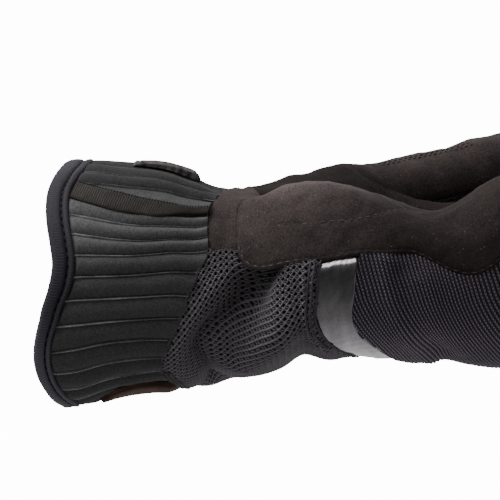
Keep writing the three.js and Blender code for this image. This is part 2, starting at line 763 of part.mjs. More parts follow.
// A panel with the fingers' openings cut out.
const opened = (geometry) => {
  let solid = toSolid(geometry);
  for (const core of cores) solid = solid.subtract(core);
  return toGeometry(largest(solid));
};
addPiece('heel_panel', opened(heelPanel), 'suede');
addPiece('palm_panel', opened(palmPanel), 'suede');
addPiece('mesh_panel', mesh, 'mesh');
addPiece('reflective_band', band, 'reflective');
addPiece('back_panel', opened(knit), 'knit');
for (const digit of digits) {
  const front = digitHalf(digit, SUEDE_WALL, 0, 1).subtract(hull);
  const back = digitHalf(digit, KNIT_WALL, HALF_TURN, -1).subtract(hull);
  addPiece(`${digit.name}_front`, toGeometry(largest(front)), 'suede');
  addPiece(`${digit.name}_back`, toGeometry(largest(back)), 'knit');
}

// The origin is under the middle of the glove, on the surface that it lies on.
const extent = new THREE.Box3().setFromObject(glove);
const middle = extent.getCenter(new THREE.Vector3());
glove.position.set(-middle.x, -middle.y, -REST_LEVEL);

export default glove;
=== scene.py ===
import math
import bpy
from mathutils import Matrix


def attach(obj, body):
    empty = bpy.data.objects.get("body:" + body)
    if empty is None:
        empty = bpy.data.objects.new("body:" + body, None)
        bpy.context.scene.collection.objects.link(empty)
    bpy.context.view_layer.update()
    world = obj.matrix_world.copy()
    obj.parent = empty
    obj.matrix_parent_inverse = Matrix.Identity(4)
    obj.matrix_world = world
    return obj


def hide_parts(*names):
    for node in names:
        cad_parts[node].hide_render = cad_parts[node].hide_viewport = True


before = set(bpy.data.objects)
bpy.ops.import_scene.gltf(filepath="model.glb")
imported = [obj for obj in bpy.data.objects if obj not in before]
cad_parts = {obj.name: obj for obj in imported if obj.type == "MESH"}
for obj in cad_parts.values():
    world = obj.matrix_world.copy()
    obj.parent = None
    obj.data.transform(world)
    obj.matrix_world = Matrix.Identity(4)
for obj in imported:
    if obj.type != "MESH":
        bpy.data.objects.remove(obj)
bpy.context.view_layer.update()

from types import SimpleNamespace

import bpy
import numpy as np
from bpy.props import FloatProperty, FloatVectorProperty, PointerProperty
from mathutils import Matrix, Vector

bl_info = {
    "name": "Summer riding glove",
    "version": (1, 0, 0),
    "blender": (4, 5, 0),
    "location": "View3D > Sidebar > Glove",
    "description": "Builds a left riding glove: ribbed cuff, mesh and knit back, suede palm",
    "category": "Add Mesh",
}

# Lengths are in millimetres and angles in degrees. A station is a distance along the hand from the
# cuff's end; an angle goes round it, with -90 at the underside, 0 on the near side and 90 on top.
MM = 0.001
ORIGIN = np.array([104.6996, 16.0914, 2.6])
UNDERSIDE, TOP, HALF_TURN, TURN = -90, 90, 180, 360
TINY = 1e-12
REST_LEVEL = 2.6
RIM_CURL = 1.0
RIM_CURL_REACH = (20, 4)
BODY_SQUARE = 2.25
DIGIT_SQUARE = 2.3
NOSE_START = 146.0
NOSE_LENGTH = 20.0
NOSE_ARC = 36.0
NOSE_WIDTH = 0.88
NORMAL_STEP = 0.2
NORMAL_DEGREES = 0.6
NORMAL_MARGIN = 0.3
MM_PER_DEGREE = 0.7
ROOT_TAPER = 0.3
ROOT_REACH = 16.0
RIB_COUNT = 32
NEAR_SEAM_RIB = 5
FAR_SEAM_RIB = 12
PALM_SEAM = 86.0
BINDING_WIDTH = 6.3
BINDING_WALL = 0.25
STRAP_START = 33.0
STRAP_WIDTH = 18.5
NEOPRENE_WALL = 2.2
TAPE_WALL = 0.9
STRAP_WALL = 1.2
PATCH_WALL = 1.7
SUEDE_WALL = 1.5
HEEL_WALL = 1.6
KNIT_WALL = 1.7
BAND_WALL = 1.5
FINGER_WALL = 1.5
FRAME_PIXELS = 500
PIXELS_PER_MM = 3.5


def table(names, *rows):
    """Columns of a small table by name."""
    return dict(zip(names.split(), np.array(rows, float).T))


SECTIONS = table(
    "x bottom mid top half",
    (-4, 1, 33, 68.5, 45), (12, 1, 33, 68.5, 44), (22, 4.6, 33, 68.3, 42.5),
    (33, 5.7, 33, 66, 39.5), (42, 5, 33, 64, 37), (50, 4.6, 32, 61.4, 35), (58, 5.6, 32, 61, 35.5),
    (65, 6.2, 33, 62.5, 38), (71, 8, 34, 64.5, 41), (78, 11.2, 34, 67.8, 43.5),
    (86, 9.2, 33, 69, 45), (94, 9.4, 32, 67.2, 46), (101, 8.4, 31, 63.5, 46.5),
    (108, 6.9, 30, 59.5, 46.5), (117, 7.6, 29.5, 55.5, 46), (124, 5.4, 30, 56, 45.5),
    (131, 3.7, 31.5, 58.5, 45), (138, 2.8, 33, 60.5, 44.5), (146, 0.6, 34, 62, 44),
)
FOLDS = table(
    "x deg long wide lift",
    (98, 92, 30, 27, -15), (85, 128, 26, 22, -4), (136, 56, 16, 22, 3.5), (142, 122, 22, 36, -9),
    (73, -24, 9, 22, 3), (64, -8, 5, 16, -3.4), (56, -28, 5, 18, -3.4), (78, -40, 4, 26, -1.8),
    (44, 96, 15, 40, 1.3), (51, -90, 5, 45, 1.2), (91, 132, 6, 24, 1.8), (90.5, -90, 4, 40, -0.9),
    (105, -90, 4, 40, -1),
)
RIM = table(
    "deg x wide",
    (-90, 9.2, 3.8), (-80, 9, 3.4), (-70, 9.5, 3.6), (-60, 8.4, 4.2), (-50, 5.7, 4.8),
    (-40, 3.7, 4.5), (-30, 2.1, 4.6), (-20, 1.6, 4.6), (-10, 2.4, 4.7), (0, 4.4, 5.5),
    (10, 7.2, 6.5), (20, 8.8, 6.4), (30, 8.6, 6.4), (40, 8.1, 6.4), (50, 8, 6.5), (60, 8.5, 6.8),
    (70, 9.8, 7.4), (80, 11.4, 7.7), (90, 13, 7.8), (100, 14.4, 7.8), (110, 13.9, 7.4),
    (120, 12.2, 6.8), (130, 10.6, 6.4), (145, 9.3, 6.3), (170, 9.2, 6.3), (182, 8.8, 6.2),
    (192, 7, 6), (202, 5.2, 5.8), (212, 4.5, 5.6), (222, 5, 5.6), (235, 7.4, 5.5), (250, 9, 5),
    (270, 9.2, 3.8),
)
CUFF_END = table(
    "deg x",
    (-90, 43), (-60, 40), (-45, 37), (-32, 37.5), (-20, 40), (-6, 43.5), (8, 47.5), (24, 52),
    (40, 52.6), (55, 53.5), (72, 56.5), (90, 58),
)
GROOVES = table(
    "rib rim half wrist",
    (0, -90, -90, -90), (1, -78, -79, -78), (2, -65, -69, -67), (3, -53, -58, -56),
    (4, -41, -44.5, -43.5), (5, -29, -30, -32), (6, -16.5, -16.5, -19.5), (7, -4, -5, -7),
    (8, 5, 4, 3), (9, 14.5, 13.5, 15), (10, 24.5, 23, 27), (11, 35.5, 30.5, 35.5),
    (12, 46.5, 39, 43), (13, 58, 49, 50.5), (14, 67, 66, 65), (15, 79, 77, 76), (16, 90, 90, 90),
)
SUEDE_ON_MESH = table("x deg", (61, 26), (61.6, 20), (64, 14), (68, 11), (74, 11), (84, 12))
MESH_VALLEY = table(
    "x deg", (68.5, 12), (64, 2.5), (58, -5), (52.5, -16), (50, -26), (50, -43), (52, -77)
)
MESH_EDGE = table(
    "x deg", (60, 16), (55, 8), (48, -6), (43, -22), (41, -40), (43, -60), (46, -78)
)
MESH_CREST = table("x deg", (78, 4), (75, -10), (72, -22), (66, -36), (60, -48))
BAND_RIDGE = table("x deg", (82.8, 12), (81.2, -2), (80.6, -15), (82, -29), (84.6, -42))
BAND_RIDGE_2 = table("x deg", (80.4, 11), (79.2, -2), (79, -15), (80.2, -29), (82, -42))
SUEDE_ON_BAND = table("x deg", (84, 12), (95.5, 17))
SUEDE_ON_KNIT = table(
    "x deg",
    (95.5, 17), (103, 20), (110, 23), (116, 19.5), (121, 13), (127, 8), (132, 8.5), (137, 13),
    (146, 18), (182, 24),
)
BAND_START = table(
    "x deg",
    (84.5, 12), (82.7, -2), (82, -15), (83.9, -29), (87.2, -41), (91, -55), (93.5, -74), (94, -90),
)
BAND_END = table(
    "x deg",
    (95.5, 17), (93.6, 2), (92.4, -15), (94.3, -31), (98.3, -43), (103, -58), (105.5, -74),
    (106, -90),
)
TAPE_LOW = table(
    "x deg", (15.0, 54), (19, 50), (26, 45.5), (33, 43.5), (40, 43), (47, 47), (53.4, 49)
)
TAPE_HIGH = table(
    "x deg", (17.2, 64), (23, 59), (29.5, 56), (36.5, 53), (43.5, 51.5), (51, 53), (54.4, 54)
)
PATCH_TOP = table("x deg", (17.4, -74), (20, -66), (27, -58), (36, -57), (43, -64))
QUILT_LINE = table(
    "x deg", (72.5, 33), (80, 30.5), (91, 32.5), (98, 37.5), (106, 49.5), (111, 58)
)
HEEL_START = table(
    "deg x", (26, 61.5), (45, 61.8), (58, 63.2), (70, 66), (86, 68.5), (154, 61.5)
)
HEEL_CREST = table(
    "x deg",
    (61, 68), (67, 64.5), (74.5, 59.5), (80.5, 57), (88, 61), (95, 64), (100, 70), (106, 77),
    (112, 84),
)
HEEL_HOLLOW = table("x deg", (71, 79), (78, 76), (90, 77), (98, 81), (104, 86))
HEEL_SLOPE = table("x deg", (66, 73), (75, 69), (84, 67.5), (91, 73))
THUMB_BALL = table("x deg", (93, 128), (102, 134))
THUMB_HOLLOW = table("x deg", (109, 117), (116, 117), (123, 119), (131, 122))
PALM_BOWL = table("x deg", (104, 104), (112, 99), (120, 98), (129, 104))
KNIT_RIDGE = table(
    "x deg", (102, 16), (102.5, 7.5), (103, -0.5), (105, -17), (109, -35.5), (114, -62.5)
)
KNIT_VALLEY = table("x deg", (106.5, 12), (107.5, 4), (109, -6), (111.5, -21), (116.5, -47))
KNIT_RIDGE_2 = table("x deg", (113, 9.5), (114.5, 0), (117.5, -18.5), (122.5, -43.5))
BINDING_PROFILE = table(
    "along out",
    (7.2, -2.5), (4.0, -2.75), (1.3, -2.6), (0.3, -1.8), (-0.1, -0.7), (0.0, 0.5), (0.4, 1.25),
    (1.3, 1.65), (3.0, 1.65), (3.8, 1.2), (4.2, 0.5), (4.6, 1.15), (5.3, 1.55), (6.0, 1.25),
    (6.3, 0.6), (6.3, -0.6),
)
DIGIT_NAMES = ("little", "ring", "middle", "index", "thumb")
DIGIT_SIZES = table(
    "x y z lean rise curl long wide slim high thin",
    (134, -30.5, 40, -5, 26, 72, 74, 20, 16.5, 23.5, 17),
    (134, -10.2, 36.5, -1.5, 25, 68, 90, 20.3, 17, 23.5, 18),
    (134, 10.4, 33.5, 2, 24, 62, 97, 20.3, 18, 23.5, 18),
    (134, 31, 32, 6, 22, 54, 88, 20, 17.5, 23.5, 18),
    (62, 11, 41, 35, 6, 3, 112, 29, 20, 29, 20),
)
DIGITS = {
    name: {key: column[row] for key, column in DIGIT_SIZES.items()}
    for row, name in enumerate(DIGIT_NAMES)
}


# form


def lookup(rows, key, at):
    """Row of a table at each given place, by a smooth curve through its rows."""
    keys = rows[key]
    last = len(keys) - 1
    at = np.asarray(at, float)
    k = np.minimum(np.searchsorted(keys[1:], at, side="left"), last - 1)
    span = keys[k + 1] - keys[k]
    t = np.clip((at - keys[k]) / span, 0, 1)
    low = np.maximum(np.arange(last + 1) - 1, 0)
    high = np.minimum(np.arange(last + 1) + 1, last)
    result = {}
    for name, column in rows.items():
        slope = (column[high] - column[low]) / (keys[high] - keys[low])
        bend = t * t * (3 - 2 * t)
        leave = t * (1 - t) ** 2 * span * slope[k]
        arrive = t * t * (1 - t) * span * slope[k + 1]
        result[name] = column[k] + (column[k + 1] - column[k]) * bend + leave - arrive
    return result


def power(value, square):
    """Cosine or sine of a rounded square; 2 gives an ellipse."""
    return np.sign(value) * np.abs(value) ** (2 / square)


def wrapped(deg):
    return (np.asarray(deg, float) + HALF_TURN) % TURN - HALF_TURN


def near_side(deg):
    """The angle, or its mirror image where it lies on the far side."""
    turned = wrapped(deg)
    return np.where(np.abs(turned) <= TOP, turned, np.sign(turned) * HALF_TURN - turned)


def body_point(station, deg):
    """Outside of the hand and cuff, in millimetres from the cuff's end."""
    station, deg = np.broadcast_arrays(np.asarray(station, float), np.asarray(deg, float))
    x = np.minimum(station, NOSE_START)
    turn = np.clip((station - NOSE_START) / NOSE_ARC, 0, 1) * math.pi / 2
    row = lookup(SECTIONS, "x", x)
    across = power(np.cos(np.radians(deg)), BODY_SQUARE)
    up = power(np.sin(np.radians(deg)), BODY_SQUARE)
    reach = np.where(up > 0, row["top"] - row["mid"], row["mid"] - row["bottom"])
    y = -row["half"] * across * (NOSE_WIDTH + (1 - NOSE_WIDTH) * np.cos(turn))
    z = row["mid"] + reach * up * np.cos(turn)
    lift = np.zeros_like(x)
    for fx, fdeg, long, wide, height in zip(*FOLDS.values()):
        lift = lift + height * hump(station, fx, long) * hump(wrapped(deg - fdeg), 0, wide)
    far = np.hypot(row["half"] * across, reach * up) + TINY
    y = y - lift * row["half"] * across * np.cos(turn) / far
    z = z + lift * reach * up * np.cos(turn) / far
    return np.stack([x + NOSE_LENGTH * np.sin(turn), y, z], -1)


def hump(value, middle, width):
    """1 at the middle, falling smoothly to 0 on both sides."""
    return np.exp(-(((value - middle) / width) ** 2))


def unit(v):
    return v / (np.linalg.norm(v, axis=-1, keepdims=True) + TINY)


def body_normal(station, deg):
    s = np.minimum(station, NOSE_START + NOSE_ARC - NORMAL_MARGIN)
    deg = np.asarray(deg)
    along = body_point(s + NORMAL_STEP, deg) - body_point(s - NORMAL_STEP, deg)
    around = body_point(s, deg + NORMAL_DEGREES) - body_point(s, deg - NORMAL_DEGREES)
    return unit(np.cross(along, around))


def body_at(station, deg, out=0.0, raised=0.0):
    """The body's surface moved out along its normal, and flattened where it rests."""
    out = np.asarray(out, float)[..., None]
    point = body_point(station, deg) + body_normal(station, deg) * out
    point[..., 2] = np.maximum(point[..., 2], rest_at(point) + raised)
    return point


def rest_at(points):
    """Level that the cloth lies at; the cuff's end curls up a little."""
    return REST_LEVEL + RIM_CURL * smoothstep(*RIM_CURL_REACH, points[..., 0])


def settle(points):
    points[..., 2] = np.maximum(points[..., 2], rest_at(points))
    return points


def sampled(rows, count):
    """Even steps along a line of stations and angles."""
    steps = np.hypot(np.diff(rows["x"]), np.diff(rows["deg"]) * MM_PER_DEGREE)
    chain = dict(at=np.concatenate([[0], np.cumsum(steps)]), x=rows["x"], deg=rows["deg"])
    row = lookup(chain, "at", np.linspace(0, chain["at"][-1], count + 1))
    return np.stack([row["x"], row["deg"]], -1)


def mirrored(points):
    return np.stack([points[:, 0], -HALF_TURN - points[:, 1]], -1)


def over_top(points):
    return np.stack([points[:, 0], HALF_TURN - points[:, 1]], -1)


def straight(a, b, count):
    t = np.linspace(0, 1, count + 1)[:, None]
    return np.asarray(a, float) * (1 - t) + np.asarray(b, float) * t


def joined(*parts):
    return np.concatenate([parts[0]] + [part[1:] for part in parts[1:]])


def filled(left, right, start, end):
    """Stations and angles that fill four edges."""
    u = np.linspace(0, 1, len(left))[:, None, None]
    v = np.linspace(0, 1, len(start))[None, :, None]
    corners = (start[0] * (1 - v) + start[-1] * v) * (1 - u) + (end[0] * (1 - v) + end[-1] * v) * u
    sides = left[:, None] * (1 - v) + right[:, None] * v
    return sides + start[None] * (1 - u) + end[None] * u - corners


def both_halves(rows, half):
    near = sampled(rows, half)
    return joined(mirrored(near), near[::-1])


def cuff_end_at(deg):
    return lookup(CUFF_END, "deg", near_side(deg))["x"]


def rim_at(deg):
    """Station of the rim and the width of its binding, all the way round."""
    row = lookup(RIM, "deg", (np.asarray(deg) - UNDERSIDE) % TURN + UNDERSIDE)
    return row["x"], row["wide"]


RIPPLE_WAVES = 7
RIPPLE_SPREAD = (0.7, 1.5)
RIPPLE_SHIFT = 6.3


def ripple(points, size, seed):
    """Smooth uneven swell over points in millimetres, from about -1 to 1."""
    chance = np.random.default_rng(seed)
    total = np.zeros(points.shape[:-1])
    for _ in range(RIPPLE_WAVES):
        way = unit(chance.normal(size=3))
        pace = 2 * math.pi / (size * chance.uniform(*RIPPLE_SPREAD))
        total += np.sin(points @ way * pace + chance.uniform(0, RIPPLE_SHIFT))
    return total / (RIPPLE_WAVES / 2)


def ripples(points, *rows):
    """Ripples added up; each row gives a height and a size in millimetres, and a seed."""
    return sum(height * ripple(points, size, seed) for height, size, seed in rows)


def smoothstep(low, high, value):
    t = np.clip((value - low) / (high - low), 0, 1)
    return t * t * (3 - 2 * t)


# meshes


def grid_normals(points):
    along = np.gradient(points, axis=0)
    around = np.gradient(points, axis=1)
    return unit(np.cross(along, around))


def spans(points):
    """Distances in millimetres along the rows and columns of a grid."""
    down = np.linalg.norm(np.diff(points, axis=0), axis=-1)
    side = np.linalg.norm(np.diff(points, axis=1), axis=-1)
    u = np.concatenate([np.zeros((1, points.shape[1])), np.cumsum(down, 0)])
    v = np.concatenate([np.zeros((points.shape[0], 1)), np.cumsum(side, 1)], 1)
    return u, v


def make_mesh(name, verts, faces, uvs=None, masks=None):
    mesh = bpy.data.meshes.new(name)
    placed = (np.concatenate(verts) - ORIGIN) * MM
    quads = np.concatenate(faces)
    mesh.vertices.add(len(placed))
    mesh.vertices.foreach_set("co", placed.astype(np.float32).ravel())
    mesh.loops.add(quads.size)
    mesh.loops.foreach_set("vertex_index", quads.astype(np.int32).ravel())
    mesh.polygons.add(len(quads))
    mesh.polygons.foreach_set("loop_start", np.arange(0, quads.size, 4, dtype=np.int32))
    mesh.polygons.foreach_set("use_smooth", np.ones(len(quads), bool))
    if uvs is not None:
        layer = mesh.uv_layers.new(name="cloth")
        layer.data.foreach_set("uv", np.concatenate(uvs)[quads.ravel()].astype(np.float32).ravel())
    if masks is not None:
        layer = mesh.attributes.new("mask", "FLOAT", "POINT")
        layer.data.foreach_set("value", np.concatenate(masks).astype(np.float32))
    mesh.update(calc_edges=True)
    mesh.validate()
    thing = bpy.data.objects.new(name, mesh)
    bpy.context.scene.collection.objects.link(thing)
    return thing


def grid_faces(rows, columns, first=0, ring=False, flip=False):
    index = first + np.arange(rows * columns).reshape(rows, columns)
    if ring:
        index = np.concatenate([index, index[:, :1]], 1)
    quads = np.stack([index[:-1, :-1], index[1:, :-1], index[1:, 1:], index[:-1, 1:]], -1)
    quads = quads.reshape(-1, 4)
    return quads[:, ::-1] if flip else quads


def thinned(count, stride, ring=False):
    """Every so many of the rows or columns, with the last one unless they close a ring."""
    few = np.arange(0, count, stride)
    return few if ring else np.unique(np.append(few, count - 1))


def cloth(name, outer, inner, mask=None, ring=False, stride=4):
    """Closed wall from an outer and an inner grid of points in millimetres."""
    rows, columns = outer.shape[:2]
    coords = np.stack(spans(outer), -1)
    mask = np.zeros((rows, columns)) if mask is None else mask
    verts, faces, uvs, masks = [], [], [], []
    count = 0

    def add(points, texture, values, ring_grid, flip):
        nonlocal count
        verts.append(points.reshape(-1, 3))
        uvs.append(texture.reshape(-1, 2))
        masks.append(values.reshape(-1))
        faces.append(grid_faces(points.shape[0], points.shape[1], count, ring_grid, flip))
        count += points.shape[0] * points.shape[1]

    def add_rim(place, ring_grid, flip):
        pair = np.stack([inner[place], outer[place]])
        add(pair, np.stack([coords[place]] * 2), np.stack([mask[place]] * 2), ring_grid, flip)

    add(outer, coords, mask, ring, False)
    few = np.ix_(thinned(rows, stride), thinned(columns, stride, ring))
    add(inner[few], coords[few], mask[few] * 0, ring, True)
    for row, flip in ((0, False), (rows - 1, True)):
        add_rim(row, ring, flip)
    if not ring:
        for column, flip in ((0, True), (columns - 1, False)):
            add_rim((slice(None), column), False, flip)
    return make_mesh(name, verts, faces, uvs, masks)


def edge_distances(points, edges):
    """Distances in millimetres from each point to each named edge of a grid."""
    u, v = spans(points)
    away = dict(left=v, right=v[:, -1:] - v, start=u, end=u[-1:] - u)
    return [away[edge] for edge in edges.split()]


def drop_edges(points, normals, width, depth, edges="left right start end"):
    """Rolls the named edges of a panel inward."""
    for away in edge_distances(points, edges):
        fall = np.clip(1 - away / width, 0, 1) ** 2
        points = points - normals * (depth * fall)[..., None]
    return points


THREAD_SIDES = 6
STITCH_RINGS = 5


def thread_faces(tube, rings, count):
    """The faces of one round thread with closed ends, for each of many threads."""
    caps = np.array([[0, 5, 4, 3], [0, 3, 2, 1]])
    one = np.concatenate([tube, caps, caps[:, ::-1] + (rings - 1) * THREAD_SIDES])
    return repeated(one, rings * THREAD_SIDES, count)


def repeated(faces, points, count):
    """The same faces for many forms of so many points."""
    return (np.arange(count)[:, None, None] * points + faces[None]).reshape(-1, 4)


def capsules(name, centres, ways, normals, length, radius, shade=0.0):
    """Short bent threads, one for each stitch; the shade turns each towards the material's pale
    colour.
    """
    rings, sides = STITCH_RINGS, THREAD_SIDES
    t = np.linspace(-1, 1, rings)
    swell = np.sqrt(np.clip(1 - t**2, 0.06, 1))
    angle = np.linspace(0, 2 * math.pi, sides, endpoint=False)
    across = unit(np.cross(ways, normals))
    spine = (
        centres[:, None]
        + ways[:, None] * (t * length / 2)[None, :, None]
        - normals[:, None] * (0.5 * radius * t**2)[None, :, None]
    )
    ring = (
        across[:, None, None] * np.cos(angle)[None, None, :, None]
        + normals[:, None, None] * np.sin(angle)[None, None, :, None]
    )
    points = spine[:, :, None] + ring * (radius * swell)[None, :, None, None]
    i, j = np.meshgrid(np.arange(rings - 1), np.arange(sides), indexing="ij")
    k = (j + 1) % sides
    near, far = i * sides, (i + 1) * sides
    tube = np.stack([near + j, near + k, far + k, far + j], -1).reshape(-1, 4)
    faces = thread_faces(tube, rings, len(centres))
    masks = np.repeat(shade + np.zeros(len(centres)), rings * sides)
    return plain_mesh(name, points, faces, masks)


def cords(name, spines, radius, reference, shade=0.0):
    """Round cords along lines of points; the reference is a way that no line runs in."""
    count, steps = spines.shape[:2]
    ahead = unit(np.gradient(spines, axis=1))
    side = unit(np.cross(ahead, np.broadcast_to(reference, ahead.shape)))
    up = np.cross(side, ahead)
    angle = np.linspace(0, 2 * math.pi, THREAD_SIDES, endpoint=False)[:, None]
    ring = side[:, :, None] * np.cos(angle) + up[:, :, None] * np.sin(angle)
    points = settle(spines[:, :, None] + radius * ring)
    faces = thread_faces(grid_faces(steps, THREAD_SIDES, ring=True), steps, count)
    return plain_mesh(name, points, faces, np.full(points.size // 3, shade))


def plain_mesh(name, points, faces, masks):
    """Mesh whose cloth has no length or width of its own."""
    points = points.reshape(-1, 3)
    return make_mesh(name, [points], [faces], [np.zeros((len(points), 2))], [masks])


def stitch_row(points, normals, pitch):
    """Even places along a seam, with the seam's direction and normal at each."""
    steps = np.linalg.norm(np.diff(points, axis=0), axis=-1)
    at = np.concatenate([[0], np.cumsum(steps)])
    places = np.arange(pitch / 2, at[-1], pitch)
    pick = lambda values: np.stack([np.interp(places, at, values[:, i]) for i in range(3)], -1)
    ways = unit(np.gradient(points, axis=0))
    return pick(points), unit(pick(ways)), unit(pick(normals))


TONE_SPREAD = 8
NEVER_TONED = 200.0


def seam_threads(name, path, lift, pitch, length, radius, material, slot, toned_from=NEVER_TONED):
    """Stitches along stations and angles of the body, turned towards the material's pale colour
    beyond a station.
    """
    points = body_at(path[:, 0], path[:, 1], lift + np.zeros(len(path)))
    normals = body_normal(path[:, 0], path[:, 1])
    centres, ways, ups = stitch_row(points, normals, pitch)
    mix_share = smoothstep(toned_from, toned_from + TONE_SPREAD, centres[:, 0])
    finish_piece(capsules(name, centres, ways, ups, length, radius, mix_share), material, slot)


def finish_piece(piece, material, slot, *nodes):
    piece.data.materials.append(bpy.data.materials[material])
    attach(piece, "root")
    if nodes:
        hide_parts(*nodes)


# materials


class Tree:
    """Short way to place and link shader nodes."""

    def __init__(self, tree):
        self.tree = tree

    def node(self, kind, values=None, **settings):
        made = self.tree.nodes.new(kind)
        for key, value in settings.items():
            setattr(made, key, value)
        for key, value in (values or {}).items():
            if hasattr(value, "is_linked"):
                self.tree.links.new(value, made.inputs[key])
            else:
                made.inputs[key].default_value = value
        return made

    def math(self, operation, a, b=0.0, c=0.0):
        return self.node("ShaderNodeMath", {0: a, 1: b, 2: c}, operation=operation).outputs[0]

    def centred(self, value):
        return self.math("SUBTRACT", value, 0.5)

    def mix(self, factor, a, b, blend="MIX"):
        values = {0: factor, 6: a, 7: b}
        return self.node("ShaderNodeMix", values, data_type="RGBA", blend_type=blend).outputs[2]


def shader_group(name, inputs, outputs, build):
    group = bpy.data.node_groups.new(name, "ShaderNodeTree")
    for socket, kind, default in inputs:
        made = group.interface.new_socket(name=socket, in_out="INPUT", socket_type=kind)
        made.default_value = default
    for socket, kind in outputs:
        group.interface.new_socket(name=socket, in_out="OUTPUT", socket_type=kind)
    tree = Tree(group)
    source = tree.node("NodeGroupInput").outputs
    sink = tree.node("NodeGroupOutput")
    for socket, value in build(tree, source).items():
        group.links.new(value, sink.inputs[socket])


def build_nap(tree, source):
    """Soft uneven tone and fine grain of brushed leather or cloth."""
    place = tree.node("ShaderNodeTexCoord").outputs["Object"]
    fine, broad = (
        tree.node(
            "ShaderNodeTexNoise",
            {"Vector": place, "Scale": source[scale], "Detail": 3.0, "Roughness": roughness},
        ).outputs[0]
        for scale, roughness in (("Grain", 0.65), ("Patches", 0.55))
    )
    tone = tree.math("MULTIPLY_ADD", tree.centred(fine), source["Grain Contrast"], 1.0)
    tone = tree.math("MULTIPLY_ADD", tree.centred(broad), source["Patch Contrast"], tone)
    height = tree.math("MULTIPLY_ADD", fine, 1.0, tree.math("MULTIPLY", broad, 0.25))
    return {"Tone": tone, "Height": height}


def build_threads(tree, source):
    """Fine parallel threads across the cloth's own length or width, in millimetres."""
    place = tree.node("ShaderNodeUVMap", uv_map="cloth").outputs[0]
    split = tree.node("ShaderNodeSeparateXYZ", {0: place}).outputs
    along = tree.math("MULTIPLY", split[0], source["Along"])
    turned = tree.math("ADD", along, tree.math("MULTIPLY", split[1], source["Across"]))
    wave = tree.math("SINE", tree.math("MULTIPLY", turned, 2 * math.pi))
    return {"Height": tree.math("MULTIPLY_ADD", wave, 0.5, 0.5)}


def build_lint(tree, source):
    """Sparse pale specks of fluff."""
    place = tree.node("ShaderNodeTexCoord").outputs["Object"]
    values = {"Vector": place, "Scale": source["Spread"], "Randomness": 1.0}
    cells = tree.node("ShaderNodeTexVoronoi", values).outputs
    near = tree.math("LESS_THAN", cells["Distance"], source["Size"])
    chance = tree.node("ShaderNodeSeparateColor", {0: cells["Color"]}).outputs[0]
    return {"Mask": tree.math("MULTIPLY", near, tree.math("GREATER_THAN", chance, 0.75))}


NAP_INPUTS = ("Grain", "Grain Contrast", "Patches", "Patch Contrast")


def build_groups():
    """The effects that several materials share, each with its usual values."""
    number = "NodeSocketFloat"
    for name, inputs, outputs, build in (
        ("Nap", zip(NAP_INPUTS, (2500.0, 0.8, 60.0, 0.5)), ("Tone", "Height"), build_nap),
        ("Threads", (("Along", 0.0), ("Across", 2.0)), ("Height",), build_threads),
        ("Lint", (("Spread", 1000.0), ("Size", 0.13)), ("Mask",), build_lint),
    ):
        shader_group(
            name,
            [(socket, number, default) for socket, default in inputs],
            [(socket, number) for socket in outputs],
            build,
        )


def rgba(colour):
    return (*colour, 1.0)


LINT_COLOUR = (0.16, 0.15, 0.14)
THREAD_TONE = 0.35
BUMP_DEPTH = 0.0002


def fabric(
    name, colour, pale, roughness, sheen, nap, threads=(), lint=0.0, bump=0.3, metal=0, shine=0.12
):
    """Cloth or leather: toned nap, fine threads, a mask that turns it towards the pale colour.

    The nap gives the Nap group's inputs in order, and each row of threads how many there are to a
    millimetre along and across the cloth, and how strong they are.
    """
    material = bpy.data.materials.new(name)
    if material.name != name:
        raise RuntimeError("a material is already called " + name)
    material.use_nodes = True
    material.node_tree.nodes.clear()
    tree = Tree(material.node_tree)
    groups = bpy.data.node_groups
    nap = dict(zip(NAP_INPUTS, nap))
    fuzz = tree.node("ShaderNodeGroup", nap, node_tree=groups["Nap"]).outputs
    mask = tree.node("ShaderNodeAttribute", attribute_name="mask").outputs["Fac"]
    base = tree.mix(mask, rgba(colour), rgba(pale))
    height, tone = fuzz["Height"], fuzz["Tone"]
    for along, across, weight in threads:
        values = {"Along": along, "Across": across}
        line = tree.node("ShaderNodeGroup", values, node_tree=groups["Threads"]).outputs["Height"]
        height = tree.math("MULTIPLY_ADD", line, weight, height)
        tone = tree.math("MULTIPLY_ADD", tree.centred(line), weight * THREAD_TONE, tone)
    grey = tree.node("ShaderNodeCombineColor", {0: tone, 1: tone, 2: tone}).outputs[0]
    base = tree.mix(1.0, base, grey, "MULTIPLY")
    if lint:
        specks = tree.node("ShaderNodeGroup", node_tree=groups["Lint"]).outputs["Mask"]
        base = tree.mix(tree.math("MULTIPLY", specks, lint), base, rgba(LINT_COLOUR))
    values = {"Strength": bump, "Distance": BUMP_DEPTH, "Height": height}
    bumped = tree.node("ShaderNodeBump", values).outputs[0]
    shader = tree.node(
        "ShaderNodeBsdfPrincipled",
        {
            "Base Color": base,
            "Roughness": roughness,
            "Sheen Weight": sheen,
            "Sheen Roughness": 0.45,
            "Sheen Tint": rgba([min(1.0, c * 8 + 0.1) for c in colour]),
            "Metallic": metal,
            "Specular IOR Level": shine,
            "Normal": bumped,
        },
    )
    output = tree.node("ShaderNodeOutputMaterial")
    material.node_tree.links.new(shader.outputs[0], output.inputs[0])


SUEDE_PALE = (0.13, 0.105, 0.102)


